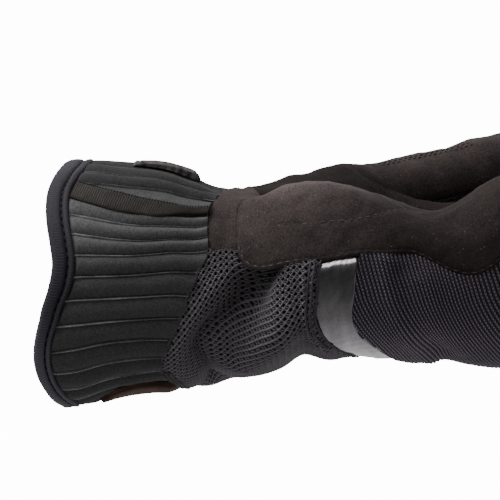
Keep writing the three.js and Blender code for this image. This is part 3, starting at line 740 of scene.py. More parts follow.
def build_materials(colours):
    """Each cloth with its colour in the folds, its pale colour and what its surface is like."""
    build_groups()
    suede = dict(nap=(2000, 2.4, 190, 0.9), bump=0.5, shine=0.06)
    grey = (0.15, 0.14, 0.138)
    brown, brown_pale = (0.045, 0.026, 0.02), (0.19, 0.125, 0.105)
    for name, colour, pale, roughness, sheen, more in (
        ("ribbed jersey", colours.neoprene, (0.45, 0.45, 0.46), 0.85, 0.06, dict(
            nap=(1700, 1.7, 40, 0.3), threads=((0, 2.6, 0.5), (1.9, 0, 0.3)), lint=0.15)),
        ("binding twill", colours.binding, (0.085, 0.082, 0.097), 0.7, 0.03, dict(
            nap=(3200, 0.5, 60, 0.25), threads=((0, 1.15, 1.3),))),
        ("woven tape", colours.tape, (0.15, 0.138, 0.125), 0.85, 0.02, dict(
            nap=(2600, 0.7, 90, 0.5))),
        ("strap webbing", colours.strap, grey, 0.9, 0.05, dict(nap=(1500, 1.8, 90, 0.6))),
        ("suede nap", colours.suede, SUEDE_PALE, 0.95, 0.28, dict(lint=0.8, **suede)),
        ("palm suede", colours.suede, SUEDE_PALE, 0.95, 0.06, dict(lint=0.5, **suede)),
        ("brown suede", brown, brown_pale, 0.95, 0.02, dict(nap=(2000, 0.9, 90, 0.6), bump=0.35)),
        ("mesh yarn", (0.01, 0.009, 0.01), colours.mesh, 0.6, 0.03, dict(
            nap=(4200, 0.8, 80, 0.4))),
        ("folded mesh", (0.03, 0.027, 0.03), colours.mesh, 0.8, 0.03, dict(
            nap=(2600, 1.4, 80, 0.4))),
        ("mesh ground", (0.0035, 0.0034, 0.004), (0.02, 0.02, 0.02), 0.9, 0.0, dict(
            nap=(3000, 0.6, 80, 0.4))),
        ("reflective film", colours.band, (0.24, 0.23, 0.24), 0.28, 0.0, dict(
            nap=(1600, 0.7, 50, 0.25), threads=((0, 1.3, 0.1),), lint=0.3, bump=0.06,
            metal=0.95, shine=0.5)),
        ("rib knit", colours.knit, (0.205, 0.175, 0.213), 0.75, 0.03, dict(
            nap=(3600, 0.8, 70, 0.35), threads=((0, 0.95, 4.0),), bump=0.6)),
        ("thread", (0.12, 0.112, 0.108), (0.045, 0.038, 0.036), 0.6, 0.0, dict(
            nap=(5000, 0.3, 90, 0.2))),
        ("dark thread", (0.007, 0.007, 0.009), (0.1, 0.1, 0.1), 0.6, 0.0, dict(
            nap=(5000, 0.3, 90, 0.2))),
    ):
        fabric(name, colour, pale, roughness, sheen, **more)


# pieces


def panel(grid, out, thick):
    """Outer surface, its normals and the inner surface over a grid of stations and angles."""
    s, d = grid[..., 0], grid[..., 1]
    out = np.broadcast_to(out, s.shape)
    outer = body_at(s, d, out)
    return outer, grid_normals(outer), body_at(s, d, out - thick, thick)


def moved(points, normals, height):
    return points + normals * height[..., None]


def rib_angle(rib, part):
    """Angle of a rib, whole for a groove, at a part of the way from the rim to the wrist."""
    from_bottom = rib + RIB_COUNT / 4
    over_the_top = from_bottom > RIB_COUNT / 2
    from_near = np.where(over_the_top, RIB_COUNT - from_bottom, np.abs(from_bottom))
    row = lookup(GROOVES, "rib", from_near)
    ends = (1 - 2 * part) * (row["rim"] * (1 - part) - row["wrist"] * part)
    near = ends + 4 * part * (1 - part) * row["half"]
    below = np.where(from_bottom < 0, -HALF_TURN - near, near)
    return np.where(over_the_top, HALF_TURN - near, below)


GROOVE_PHASES = [0.0, 0.008, 0.02, 0.035, 0.05, 0.065, 0.085, 0.11, 0.15]
CREST_PHASES = [0.22, 0.32, 0.42, 0.5, 0.58, 0.68, 0.78]
RIB_PHASES = np.array(GROOVE_PHASES + CREST_PHASES + [1 - p for p in GROOVE_PHASES[:0:-1]])
CUFF_ROWS = 72
CUFF_TUCK, WRIST_TUCK = 0.3, 0.5
RIB_SHARE = 0.88
LIP_AT, LIP_WIDTH, LIP_HEIGHT = 0.94, 0.032, 0.75


def make_cuff(sizes):
    for name, first, last in (
        ("cuff_palm", NEAR_SEAM_RIB, FAR_SEAM_RIB),
        ("cuff_back", FAR_SEAM_RIB - RIB_COUNT, NEAR_SEAM_RIB),
    ):
        rib = (np.arange(first, last)[:, None] + RIB_PHASES[None, :]).ravel()
        rib = np.append(rib, last)[None, :]
        t = np.linspace(0, 1, CUFF_ROWS)[:, None]
        d = rib_angle(rib + 0 * t, t + 0 * rib)
        near = near_side(d)
        start = np.sum(rim_at(d), axis=0) - CUFF_TUCK
        s = start + (cuff_end_at(d) + WRIST_TUCK - start) * t
        phase = np.broadcast_to(rib % 1, s.shape)
        body = 2 * np.clip(phase / RIB_SHARE, 0, 1) - 1
        puff = (1 - np.abs(body) ** 8) ** 0.6
        lip = hump(phase, LIP_AT, LIP_WIDTH)
        crown = sizes.rib_height * (1.25 * (1 - body**2) + 0.2 * puff)
        outer = body_at(s, d, (crown + LIP_HEIGHT * lip) * smoothstep(0, 0.03, t))
        normals = grid_normals(outer)
        soft = ripples(outer, (0.22, 16, 3), (0.07, 6, 4))
        sunk = 1.2 * smoothstep(50, 57, s) * smoothstep(50, 75, near)
        outer = settle(moved(outer, normals, soft * puff - sunk))
        inner = body_at(s, d, -NEOPRENE_WALL - sunk, NEOPRENE_WALL)
        # Painted highlight: each rib's lip is turned towards the pale colour, as if lit from
        # above; unevenly, strongest near the rim and weakest near the top.
        mix_share = np.clip(0.6 + 0.35 * ripple(outer, 7, 9), 0, 1)
        mix_share = mix_share * (0.45 + 0.55 * smoothstep(0.8, 0.2, t))
        mix_share = mix_share * (1 - 0.8 * smoothstep(35, 55, near))
        # An even tone, plus painted light: the cuff is made paler towards its top, as if lit from
        # above, fading out at the tape.
        tone_and_top_light = (0.043 + 0.105 * smoothstep(10, 40, near)) * smoothstep(66, 52, near)
        piece = cloth(name + "_ribs", outer, inner, mask=lip * mix_share + tone_and_top_light)
        finish_piece(piece, "ribbed jersey", "neoprene", name)


BINDING_ROWS, BINDING_COLUMNS = 58, 360
BINDING_SEAM = 0.67


def make_binding(sizes):
    along, out = BINDING_PROFILE["along"], BINDING_PROFILE["out"]
    chain = np.concatenate([[0], np.cumsum(np.hypot(np.diff(along), np.diff(out)))])
    row = lookup(dict(at=chain, **BINDING_PROFILE), "at", np.linspace(0, chain[-1], BINDING_ROWS))
    deg = np.linspace(UNDERSIDE, UNDERSIDE + TURN, BINDING_COLUMNS, endpoint=False)
    rim, wide = rim_at(deg)
    swell = 1 + 0.05 * ripple(body_point(rim, deg), 14, 21)
    s = rim[None, :] + row["along"][:, None] * wide[None, :] / BINDING_WIDTH
    out = row["out"][:, None] * swell[None, :]
    outer = body_at(s, np.broadcast_to(deg, s.shape), out, np.clip(-out, 0, None))
    inner = outer - grid_normals(outer) * BINDING_WALL
    # Painted light: the binding is made paler towards the underside, as if lit from the floor
    # below.
    low = smoothstep(8, -22, near_side(deg)) + 0 * s
    piece = cloth("binding_rolls", outer, inner, mask=low, ring=True, stride=3)
    finish_piece(piece, "binding twill", "binding", "cuff_binding")
    path = np.stack([rim + BINDING_SEAM * wide, deg], -1)
    thread = dict(length=1.7, radius=0.24, material="dark thread", slot="binding")
    seam_threads("binding_stitches", path, lift=0.95, pitch=sizes.stitch_pitch, **thread)


TAPE_ROWS, TAPE_COLUMNS = 360, 14
TAPE_LIFT, TAPE_RIB = 2.15, 0.66


def make_tape(sizes):
    low, high = sampled(TAPE_LOW, TAPE_ROWS), sampled(TAPE_HIGH, TAPE_ROWS)
    ends = (straight(low[row], high[row], TAPE_COLUMNS) for row in (0, -1))
    outer, normals, inner = panel(filled(low, high, *ends), TAPE_LIFT, TAPE_WALL)
    u, v = spans(outer)
    edge = smoothstep(0, 0.5, v) * smoothstep(0, 0.5, v[:, -1:] - v)
    ribs = 0.5 + 0.5 * np.cos(u * 2 * math.pi / TAPE_RIB)
    height = edge * (0.2 * ribs) - 0.3 * (1 - edge) + 0.08 * ripple(outer, 5, 8)
    outer = moved(outer, normals, height)
    lit = (0.15 + 0.05 * ripple(outer, 4, 9)) * (0.1 + 1.3 * ribs) * edge
    finish_piece(cloth("tape_weave", outer, inner, mask=lit), "woven tape", "tape", "seam_tape")
    path = sampled(TAPE_HIGH, 120) + [0, 1.4]
    points = body_at(path[:, 0], path[:, 1], np.full(len(path), 1.45))
    centres, ways, ups = stitch_row(points, body_normal(path[:, 0], path[:, 1]), 0.85)
    slant = unit(np.cross(ups, ways) + ways * 0.5)
    finish_piece(capsules("tape_overlock", centres, slant, ups, 1.5, 0.22), "dark thread", "tape")


STRAP_ROWS, STRAP_COLUMNS = 60, 120
STRAP_LOW, STRAP_RISE, STRAP_BEND = 2.0, 1.6, 1.8
STRAP_NEAR, STRAP_FAR = 91, 166


def strap_lift(station):
    """The strap bridges over the narrowing of the cuff towards the wrist."""
    part = (station - STRAP_START) / STRAP_WIDTH
    return STRAP_LOW + STRAP_RISE * part * (STRAP_BEND - part)


def make_strap(sizes):
    across, along = np.linspace(0, 1, STRAP_ROWS), np.linspace(0, 1, STRAP_COLUMNS)
    s = STRAP_START + STRAP_WIDTH * across[:, None] + along[None, :]
    d = np.broadcast_to(np.linspace(STRAP_NEAR, STRAP_FAR, STRAP_COLUMNS)[None, :], s.shape)
    outer, normals, inner = panel(np.stack([s, d], -1), strap_lift(s), strap_lift(s) - STRAP_WALL)
    outer = drop_edges(outer, normals, 1.2, 0.6)
    outer = drop_edges(outer, normals, 3.5, 1.2, "end")
    away = np.minimum.reduce(edge_distances(outer, "start end left"))
    outer = moved(outer, normals, 0.12 * ripple(outer, 8, 5) - 0.25 * hump(away, 1.9, 0.35))
    lit = 0.4 + 0.4 * ripple(outer, 1.3, 6)
    piece = cloth("strap_cloth", outer, inner, mask=lit)
    finish_piece(piece, "strap webbing", "strap", "wrist_strap")
    low, high = STRAP_START + 2, STRAP_START + STRAP_WIDTH - 2
    thread = dict(pitch=1.3, length=0.9, radius=0.18, material="thread", slot="strap")
    for letter, start, end, steps in (
        ("a", (low, 92.5), (low + 1, 165), 80),
        ("b", (high, 92.5), (high + 1, 165), 80),
        ("c", (low, 93.5), (high, 93.5), 40),
    ):
        path = straight(start, end, steps)
        seam_threads("strap_stitches_" + letter, path, strap_lift(path[:, 0]) - 0.1, **thread)


PATCH_ROWS, PATCH_COLUMNS, PATCH_LIFT = 80, 90, 2.8


def make_patch(sizes):
    near = sampled(PATCH_TOP, PATCH_ROWS)
    far = mirrored(near)
    ends = (straight(far[row], near[row], PATCH_COLUMNS) for row in (0, -1))
    outer, normals, inner = panel(filled(far, near, *ends), PATCH_LIFT, PATCH_WALL)
    outer = drop_edges(outer, normals, 0.8, 0.4)
    outer, inner = (drop_edges(side, normals, 6, 2.3, "start end") for side in (outer, inner))
    outer = settle(outer)
    mix_share = 0.22 + 0.18 * ripple(outer, 6, 12)
    piece = cloth("patch_suede", outer, inner, mask=mix_share)
    finish_piece(piece, "brown suede", "suede", "cuff_patch")


# Each row of creases gives a line, a width, and how far the surface is pushed out there.
SUEDE_CREASES = (
    (HEEL_HOLLOW, 5.5, -3.2),
    (PALM_BOWL, 7.0, -3.0),
    (THUMB_BALL, 6.5, 1.5),
    (HEEL_SLOPE, 5.5, -1.7),
    (THUMB_HOLLOW, 8.0, -4.4),
)
MESH_CREASES = (
    (MESH_VALLEY, 4.4, -5.4),
    (MESH_CREST, 5.0, 1.6),
    (MESH_EDGE, 3.2, 1.2),
    (BAND_RIDGE, 1.0, 1.5),
    (BAND_RIDGE_2, 0.9, 1.3),
)
KNIT_CREASES = ((KNIT_RIDGE, 2.6, 1.1), (KNIT_VALLEY, 2.4, -0.9), (KNIT_RIDGE_2, 3.0, 0.8))
CREASE_STEPS = 60


def crease(points, path, width, depth, both=True):
    """Push in, or out, along a line of stations and angles, by its distance from each point."""
    line = sampled(path, CREASE_STEPS)
    if both:
        line = np.concatenate([line, mirrored(line)])
    flat = points.reshape(-1, 3)
    near = np.full(len(flat), np.inf)
    for place in body_point(line[:, 0], line[:, 1]):
        near = np.minimum(near, ((flat - place) ** 2).sum(1))
    return (depth * np.exp(-near / width**2)).reshape(points.shape[:-1])


def creases(points, rows, both=True):
    return sum(crease(points, *row, both) for row in rows)


def suede_relief(outer, seed):
    folds = ripples(outer, (0.35, 22, seed), (0.14, 7, seed + 1), (0.06, 3, seed + 2))
    return folds + creases(outer, SUEDE_CREASES, False)


WRIST_NEAR, WRIST_FAR = 26, 154
WRIST_ROWS, WRIST_COLUMNS = 34, 261


def make_wrist(sizes):
    deg = np.linspace(WRIST_NEAR, WRIST_FAR, WRIST_COLUMNS)
    t = np.linspace(0, 1, WRIST_ROWS)[:, None]
    end = cuff_end_at(deg)[None, :]
    heel = lookup(HEEL_START, "deg", deg)["x"][None, :] + 1.6
    s = end + (heel - end) * t
    grid = np.stack([s, np.broadcast_to(deg, s.shape)], -1)
    outer, normals, inner = panel(grid, 0.1, SUEDE_WALL)
    wrinkles = 0.24 * np.sin(s * 1.15 + 1.5 * ripple(outer, 18, 31)) * np.sin(math.pi * t)
    tuck = -0.9 * smoothstep(heel - 2.2, heel - 0.8, s)
    outer = moved(outer, normals, wrinkles + suede_relief(outer, 33) * 0.5 + tuck)
    outer = drop_edges(outer, normals, 0.9, 0.5)
    piece = cloth("wrist_suede", outer, inner, mask=0.25 + 0 * s)
    finish_piece(piece, "suede nap", "suede", "wrist_piece")


ROWS_ON_MESH, ROWS_ON_BAND, ROWS_ON_KNIT = 70, 26, 150
HEEL_COLUMNS, PALM_COLUMNS = 110, 112


def suede_edge():
    """The suede's lower edge, past the mesh, the band and the knit."""
    return joined(
        sampled(SUEDE_ON_MESH, ROWS_ON_MESH),
        sampled(SUEDE_ON_BAND, ROWS_ON_BAND),
        sampled(SUEDE_ON_KNIT, ROWS_ON_KNIT),
    )


def palm_seam(lower, start):
    """Line that the heel and the palm share."""
    line = np.stack([lower[:, 0], np.full(len(lower), PALM_SEAM)], -1)
    line[:, 0] = start[-1, 0] + (line[-1, 0] - start[-1, 0]) * np.linspace(0, 1, len(line))
    line[0] = start[-1]
    return line


def make_heel(lower, line, start):
    grid = filled(lower, line, start, straight(lower[-1], line[-1], HEEL_COLUMNS))
    s, d = grid[..., 0], grid[..., 1]
    outer, normals, inner = panel(grid, 0.5, HEEL_WALL)
    away = np.minimum.reduce(edge_distances(outer, "left start"))
    quilt = lookup(QUILT_LINE, "x", s)["deg"]
    reach = smoothstep(68, 74, s) * smoothstep(118, 112, s)
    channel = hump(d, quilt, 1.1) * reach
    pad = smoothstep(0, 14, d - quilt) * reach
    under = lookup(HEEL_CREST, "x", s)["deg"] - d
    crest = hump(under, 0, 9) * smoothstep(64, 76, s) * smoothstep(130, 104, s)
    lit = 0.31 + 0.45 * crest - 0.25 * smoothstep(84, 112, s) - 0.08 * smoothstep(40, 20, d)
    lit = (lit + 0.05 * smoothstep(118, 130, s)) * smoothstep(-9, -1, under)
    relief = suede_relief(outer, 41)
    inner = moved(inner, normals, relief)
    height = 0.25 * pad - 0.22 * hump(away, 1.5, 0.3) - 0.16 * channel
    outer = moved(outer, normals, relief + height)
    outer = drop_edges(outer, normals, 0.9, 0.7, "left start")
    outer = drop_edges(outer, normals, 0.8, 0.4, "right")
    piece = cloth("heel_suede", outer, inner, mask=lit)
    finish_piece(piece, "suede nap", "suede", "heel_panel")


def make_palm(sizes):
    lower = suede_edge()
    start = sampled(dict(x=HEEL_START["x"][:5], deg=HEEL_START["deg"][:5]), HEEL_COLUMNS)
    start = start + (lower[0] - start[0]) * np.linspace(1, 0, len(start))[:, None]
    line = palm_seam(lower, start)
    make_heel(lower, line, start)
    far = over_top(lower)
    ends = (straight(line[row], far[row], PALM_COLUMNS) for row in (0, -1))
    grid = filled(line, far, *ends)
    outer, normals, inner = panel(grid, 0.4, SUEDE_WALL)
    relief = suede_relief(outer, 47)
    inner = moved(inner, normals, relief)
    outer = drop_edges(moved(outer, normals, relief), normals, 0.9, 0.5)
    s, d = grid[..., 0], grid[..., 1]
    lit = 0.02 + 0.14 * smoothstep(128, 150, s) + 0.08 * smoothstep(115, 150, d)
    piece = cloth("palm_suede", outer, inner, mask=lit)
    finish_piece(piece, "palm suede", "suede", "palm_panel")
    edge = lower + [0, 2.0]
    edge[:ROWS_ON_MESH, 0] += 0.9 * np.linspace(1, 0, ROWS_ON_MESH)
    thread = dict(pitch=sizes.stitch_pitch, length=1.5, material="thread", slot="suede")
    # These stitches turn to the thread's darker second colour beyond station 74.
    seam_threads("heel_edge_stitches", edge[:-20], 0.68, radius=0.15, toned_from=74.0, **thread)
    seam_threads("quilt_stitches", sampled(QUILT_LINE, 100), 0.5, radius=0.14, **thread)


def flip_table(rows):
    return {name: column[::-1] for name, column in rows.items()}


def mesh_outline(deg):
    """Stations where the mesh starts at the cuff and ends at the band."""
    near = near_side(deg)
    end = lookup(flip_table(BAND_START), "deg", np.minimum(near, BAND_START["deg"][0]))["x"]
    return cuff_end_at(near), end


GROUND_ROWS, GROUND_HALF = 42, 80
GROUND_SINK, GROUND_WALL = 1.2, 1.0
CELL_STRETCH = 1.05
CELL_CORNERS = 8
# Rings of a cell from its threads to its middle, in an open and in a closed cell; the shade column
# is painted shade, darker towards each cell's middle.
CELL_RINGS = table(
    "scale open closed rounding shade",
    (1.0, 0.5, 0.5, 0.0, 1.0),
    (0.72, 0.38, 0.42, 0.03, 0.72),
    (0.5, -0.1, 0.1, 0.1, 0.16),
    (0.01, -1.2, -0.15, 0.0, 0.0),
)
SLANT = np.tile([1.0, 1.0, 1.0, 0.68], 2)[None, :]
FOLD_SHADE = 0.19


def mesh_grid(rows, half):
    corner = (float(cuff_end_at(WRIST_NEAR)), float(WRIST_NEAR))
    first = straight(corner, (SUEDE_ON_MESH["x"][0], SUEDE_ON_MESH["deg"][0]), max(2, rows // 6))
    side = joined(first, sampled(SUEDE_ON_MESH, rows))
    below = CUFF_END["deg"] < WRIST_NEAR
    start = {
        key: np.append(CUFF_END[key][below], place)[::-1]
        for key, place in zip(("x", "deg"), corner)
    }
    return filled(mirrored(side), side, both_halves(start, half), both_halves(BAND_START, half))


def mesh_folds(points):
    """Folds of the soft mesh over the wrist."""
    return creases(points, MESH_CREASES) + 0.15 * ripple(points, 9, 61)


def on_mesh(x, deg, out):
    return settle(body_at(x, deg, out + mesh_folds(body_point(x, deg))))


def mesh_lattice(step_x, step_around):
    """Stations and angles at even steps over the mesh, and the place of each cell in them."""
    fine = np.arange(-210, 31, 0.5)
    stations = np.arange(34, 94, step_x)
    around = np.arange(-160, 160) * step_around
    lattice = np.zeros((len(stations), len(around), 2))
    for row, x in enumerate(stations):
        rim = body_point(np.full(len(fine), x), fine)
        arc = np.concatenate([[0], np.cumsum(np.linalg.norm(np.diff(rim, axis=0), axis=1))])
        arc -= np.interp(UNDERSIDE, fine, arc)
        lattice[row] = np.stack([np.full(len(around), x), np.interp(around, arc, fine)], -1)
    i, j = np.indices((len(stations) - 2, len(around) - 2)) + 1
    keep = (i + j) % 2 == 1
    i, j = i[keep], j[keep]
    x, deg = lattice[i, j].T
    low, high = mesh_outline(deg)
    side = lookup(SUEDE_ON_MESH, "x", x)["deg"]
    inside = (x > low + 0.2) & (x < high - 0.2) & (near_side(deg) < side + 1.5)
    inside &= (lattice[i, j - 1, 1] > fine[0]) & (lattice[i, j + 1, 1] < fine[-1])
    return lattice, i[inside], j[inside]


def make_cells(lattice, i, j):
    """The mesh's yarn: every second cell is open, the others are closed lower down."""
    corners = (lattice[i - 1, j], lattice[i, j + 1], lattice[i + 1, j], lattice[i, j - 1])
    corners = np.stack(corners, 1)
    middle = corners.mean(1, keepdims=True)
    ring = np.stack([corners, (corners + np.roll(corners, -1, 1)) / 2], 2)
    ring = ring.reshape(len(i), CELL_CORNERS, 2)
    round_off = np.tile([0.0, 1.0], 4)[None, :, None]
    under = smoothstep(-15, -42, near_side(middle[..., 1]))
    open_hole = (j % 2 == 1)[:, None]
    verts, masks = [], []
    for scale, height, floor, rounding, shade in zip(*CELL_RINGS.values()):
        inner = scale < 0.8
        place = middle + (ring - middle) * scale * (1 + rounding * round_off) * (
            1 + 0.12 * inner * under[..., None]
        )
        x, deg = place[..., 0], place[..., 1]
        knot = np.tile([0.18, 0.0], 4)[None, :] * (1 - inner) * (1 - under)
        level = np.where(open_hole, height, floor) - 0.35 * (1 - SLANT) * (scale > 0.6)
        verts.append(on_mesh(x, deg, level + knot))
        # Painted light and shade on the yarn: paler on the underside, as if lit from the floor
        # below, and near the cuff on the lit ridge; painted shade in the fold valley. The yarn is
        # also made darker towards the top, by the suede's edge.
        shade = 0.76 * shade * SLANT * (1 + (0.28 - 0.3 * inner) * under)
        shade = shade * (1 + 0.2 * smoothstep(62, 54, x)) * (1 - 0.22 * smoothstep(-8, 12, deg))
        masks.append(shade * (1 - 0.22 * crease(body_point(x, deg), MESH_VALLEY, 4.0, 1.0)))
    a, b = np.indices((len(verts) - 1, CELL_CORNERS))
    near, far, c = a * CELL_CORNERS, (a + 1) * CELL_CORNERS, (b + 1) % CELL_CORNERS
    quad = np.stack([near + b, far + b, far + c, near + c], -1).reshape(-1, 4)
    faces = repeated(quad, len(verts) * CELL_CORNERS, len(i))
    piece = plain_mesh("mesh_yarn", np.stack(verts, 1), faces, np.stack(masks, 1).reshape(-1))
    finish_piece(piece, "mesh yarn", "air_mesh")
    return middle[:, 0]


def make_mesh_panel(sizes):
    ground = mesh_grid(GROUND_ROWS, GROUND_HALF)
    x, deg = ground[..., 0], ground[..., 1]
    folds = mesh_folds(body_point(x, deg)) - GROUND_SINK
    outer = settle(body_at(x, deg, folds))
    inner = body_at(x, deg, folds - GROUND_WALL, GROUND_SINK + GROUND_WALL)
    finish_piece(cloth("mesh_ground", outer, inner), "mesh ground", "air_mesh", "mesh_panel")
    step_x, step_around = sizes.mesh_cell / 2, sizes.mesh_cell * CELL_STRETCH / 2
    lattice, i, j = mesh_lattice(step_x, step_around)
    middle = make_cells(lattice, i, j)
    loops = middle[(j % 2 == 0) & (near_side(middle[:, 1]) > -52)]
    turn = np.linspace(-0.15, 1.15, 5)[None, :] * math.pi
    arch_x = loops[:, :1] + 0.45 * np.cos(turn)
    degrees_per_mm = (lattice[10, 60, 1] - lattice[10, 59, 1]) / step_around
    arch_deg = loops[:, 1:] + degrees_per_mm * (0.38 * np.sin(turn) - 0.1)
    arches = on_mesh(arch_x, arch_deg, 0.12 + 0.25 * np.sin(turn))
    ups = body_normal(loops[:, 0], loops[:, 1])[:, None]
    finish_piece(cords("mesh_loops", arches, 0.14, ups, 0.62), "mesh yarn", "air_mesh")
    make_mesh_edges()


def make_mesh_edges():
    """Folded edges of the mesh at the cuff, and its fold and ridges beside the band."""
    whole = both_halves(flip_table({key: column[:8] for key, column in CUFF_END.items()}), 160)
    below = whole[np.abs(whole[:, 1] - UNDERSIDE) < 46]
    band = both_halves(BAND_START, 160)
    near = band[band[:, 1] > UNDERSIDE]
    for name, path, away, height, radius in (
        ("edge", whole, 0.15, 0.25, 0.42),
        ("edge_fold", below, 1.3, 0.5, 0.5),
        ("edge_fold_2", below, 2.6, 0.45, 0.45),
        ("band_fold", band, -0.3, 0.1, 0.55),
        ("ridge_0", near[near_side(near[:, 1]) > -38], -1.5, 0.5, 0.4),
        ("ridge_1", near[near_side(near[:, 1]) > -30], -2.7, 0.5, 0.4),
    ):
        spine = on_mesh(path[:, 0] + away, path[:, 1], np.full(len(path), height))
        piece = cords("mesh_" + name, spine[None], radius, [1.0, 0.0, 0.02], FOLD_SHADE)
        finish_piece(piece, "folded mesh", "air_mesh")


BAND_ENDS, BAND_HALF = 40, 190
BAND_ROLL = 3.6


def make_band(sizes):
    side = sampled(SUEDE_ON_BAND, BAND_ENDS) + [0, 2.6]
    rims = (both_halves(rows, BAND_HALF) for rows in (BAND_START, BAND_END))
    outer, normals, inner = panel(filled(mirrored(side), side, *rims), 0.2, BAND_WALL)
    bend = 0.18 * ripple(outer * [1, 0.5, 0.5], 9, 71) + 0.06 * ripple(outer, 3, 72)
    outer = drop_edges(moved(outer, normals, bend), normals, 0.5, 0.3, "start end")
    away = np.minimum.reduce(edge_distances(outer, "left right"))
    roll = 0.45 * np.log1p(np.exp((BAND_ROLL - away) / 0.5))
    roll = roll - 0.95 * smoothstep(20, BAND_ROLL, away)
    roll = roll + 0.1 * ripple(outer * [1, 0.2, 0.2], 1.6, 74) * smoothstep(6, 3.5, away)
    outer, inner = (settle(moved(points, normals, -roll)) for points in (outer, inner))
    lit = 0.5 + 0.5 * ripple(outer * [1, 0.2, 0.2], 3, 73)
    piece = cloth("band_film", outer, inner, mask=lit)
    finish_piece(piece, "reflective film", "reflective", "reflective_band")


KNIT_RIBS, KNIT_ACROSS, KNIT_COLUMNS = 104, 6, 141
KNIT_START, KNIT_REACH = 66, 107
KNIT_RADIUS = 40
# How far the ribs run back and sag towards the underside, and over which lengths.
RIB_SLANT, SLANT_LENGTH = 0.14, 150
RIB_SAG, SAG_LENGTH = 6, 75


def make_back(sizes):
    rib = np.arange(KNIT_RIBS * KNIT_ACROSS + 1) / KNIT_ACROSS * sizes.knit_pitch + KNIT_START
    reach = np.linspace(-1, 1, KNIT_COLUMNS)
    near = near_side(UNDERSIDE + reach[None, :] * KNIT_REACH)
    top = UNDERSIDE + KNIT_REACH
    down = np.clip(top - near, 0, KNIT_REACH) * math.radians(1) * KNIT_RADIUS
    sag = RIB_SAG * (1 - np.cos(math.pi * down / SAG_LENGTH))
    x = rib[:, None] + RIB_SLANT * down * (1 - down / SLANT_LENGTH) + sag
    band = lookup(flip_table(BAND_END), "deg", np.clip(near, UNDERSIDE, top))["x"]
    x = np.clip(x, band - 0.2, NOSE_START + NOSE_ARC)
    first, last = SUEDE_ON_KNIT["x"][[0, -1]]
    edge = lookup(SUEDE_ON_KNIT, "x", np.clip(x, first, last))["deg"]
    deg = UNDERSIDE + reach[None, :] * (edge - UNDERSIDE + 0.8)
    used = (np.ptp(x, axis=1) > 0.5) | (np.abs(x - band).min(1) > 0.4)
    x, deg, rib = x[used], deg[used], rib[used]
    outer = body_at(x, deg, 0.1 + 0 * x)
    wave = 0.5 + 0.5 * np.cos(2 * math.pi * rib / sizes.knit_pitch)[:, None]
    fold = 0.35 * ripple(outer * [1, 1, 0.5], 18, 81) + creases(outer, KNIT_CREASES)
    outer = settle(moved(outer, body_normal(x, deg), 0.42 * wave**0.8 + fold))
    inner = body_at(x, deg, -KNIT_WALL + 0 * x, KNIT_WALL)
    near = near_side(deg)
    lit = 0.5 + 0.45 * smoothstep(20, -50, near) + 0.45 * hump(x, 113, 13) * hump(near, -30, 20)
    piece = cloth("back_knit", outer, inner, mask=lit * wave, stride=7)
    finish_piece(piece, "rib knit", "knit", "back_panel")


DIGIT_STEPS = 160


def digit_frames(digit):
    """Length along a bent finger, with its middle line and its three directions there."""
    part = np.linspace(0, 1, DIGIT_STEPS + 1)
    slope = np.radians(digit["rise"] + (digit["curl"] - digit["rise"]) * part)
    lean = math.radians(digit["lean"])
    ahead = [np.cos(slope) * math.cos(lean), np.cos(slope) * math.sin(lean), np.sin(slope)]
    ahead = np.stack(ahead, -1)
    side = np.tile([math.sin(lean), -math.cos(lean), 0.0], (DIGIT_STEPS + 1, 1))
    moves = np.cumsum(ahead[:-1] * digit["long"] / DIGIT_STEPS, 0)
    at = np.array([digit["x"], digit["y"], digit["z"]]) + np.concatenate([np.zeros((1, 3)), moves])
    return part * digit["long"], at, ahead, side, np.cross(side, ahead)


def digit_surface(digit, along, turn, deg, grow):
    """Points of a finger; turn rounds the tip off."""
    chain, *lines = digit_frames(digit)
    at, ahead, side, up = (
        np.stack([np.interp(along, chain, line[:, k]) for k in range(3)], -1) for line in lines
    )
    tip = digit["slim"] / 2
    part = along / (digit["long"] - tip)
    full = 1 - ROOT_TAPER * np.exp(-((along / ROOT_REACH) ** 2))
    wide = (digit["wide"] + (digit["slim"] - digit["wide"]) * part) / 2 * full
    high = (digit["high"] + (digit["thin"] - digit["high"]) * part) / 2 * full
    centre = at + ahead * ((tip + grow) * np.sin(turn))[..., None]
    a = np.radians(deg)
    across = (wide + grow) * power(np.cos(a), DIGIT_SQUARE) * np.cos(turn)
    above = (high + grow) * power(np.sin(a), DIGIT_SQUARE) * np.cos(turn)
    return centre + side * across[..., None] + up * above[..., None]


def digit_seam(digit, along, turn, deg, grow):
    """Points of a line along a finger and the ways out of it."""
    deg = np.full(len(along), float(deg))
    seam = digit_surface(digit, along, turn, deg, grow)
    return seam, unit(seam - digit_surface(digit, along, turn, deg, -4.0))


BODY_ROWS, TIP_ROWS = 80, 20
FRONT_COLUMNS, BACK_COLUMNS = 46, 64
FINGER_SEAMS = (7, 173)
FINGER_FOLDS = (0.42, 0.7)
FINGER_SHIFT = 0.06


def thumb_swell(along, deg):
    """The root and the seam of the thumb stand up a little."""
    root = 1.6 * hump(along, 16, 13) + 1.3 * smoothstep(74, 92, along) + 1.9 * hump(along, 40, 5)
    return root * np.clip(np.sin(np.radians(deg)), 0, 1)


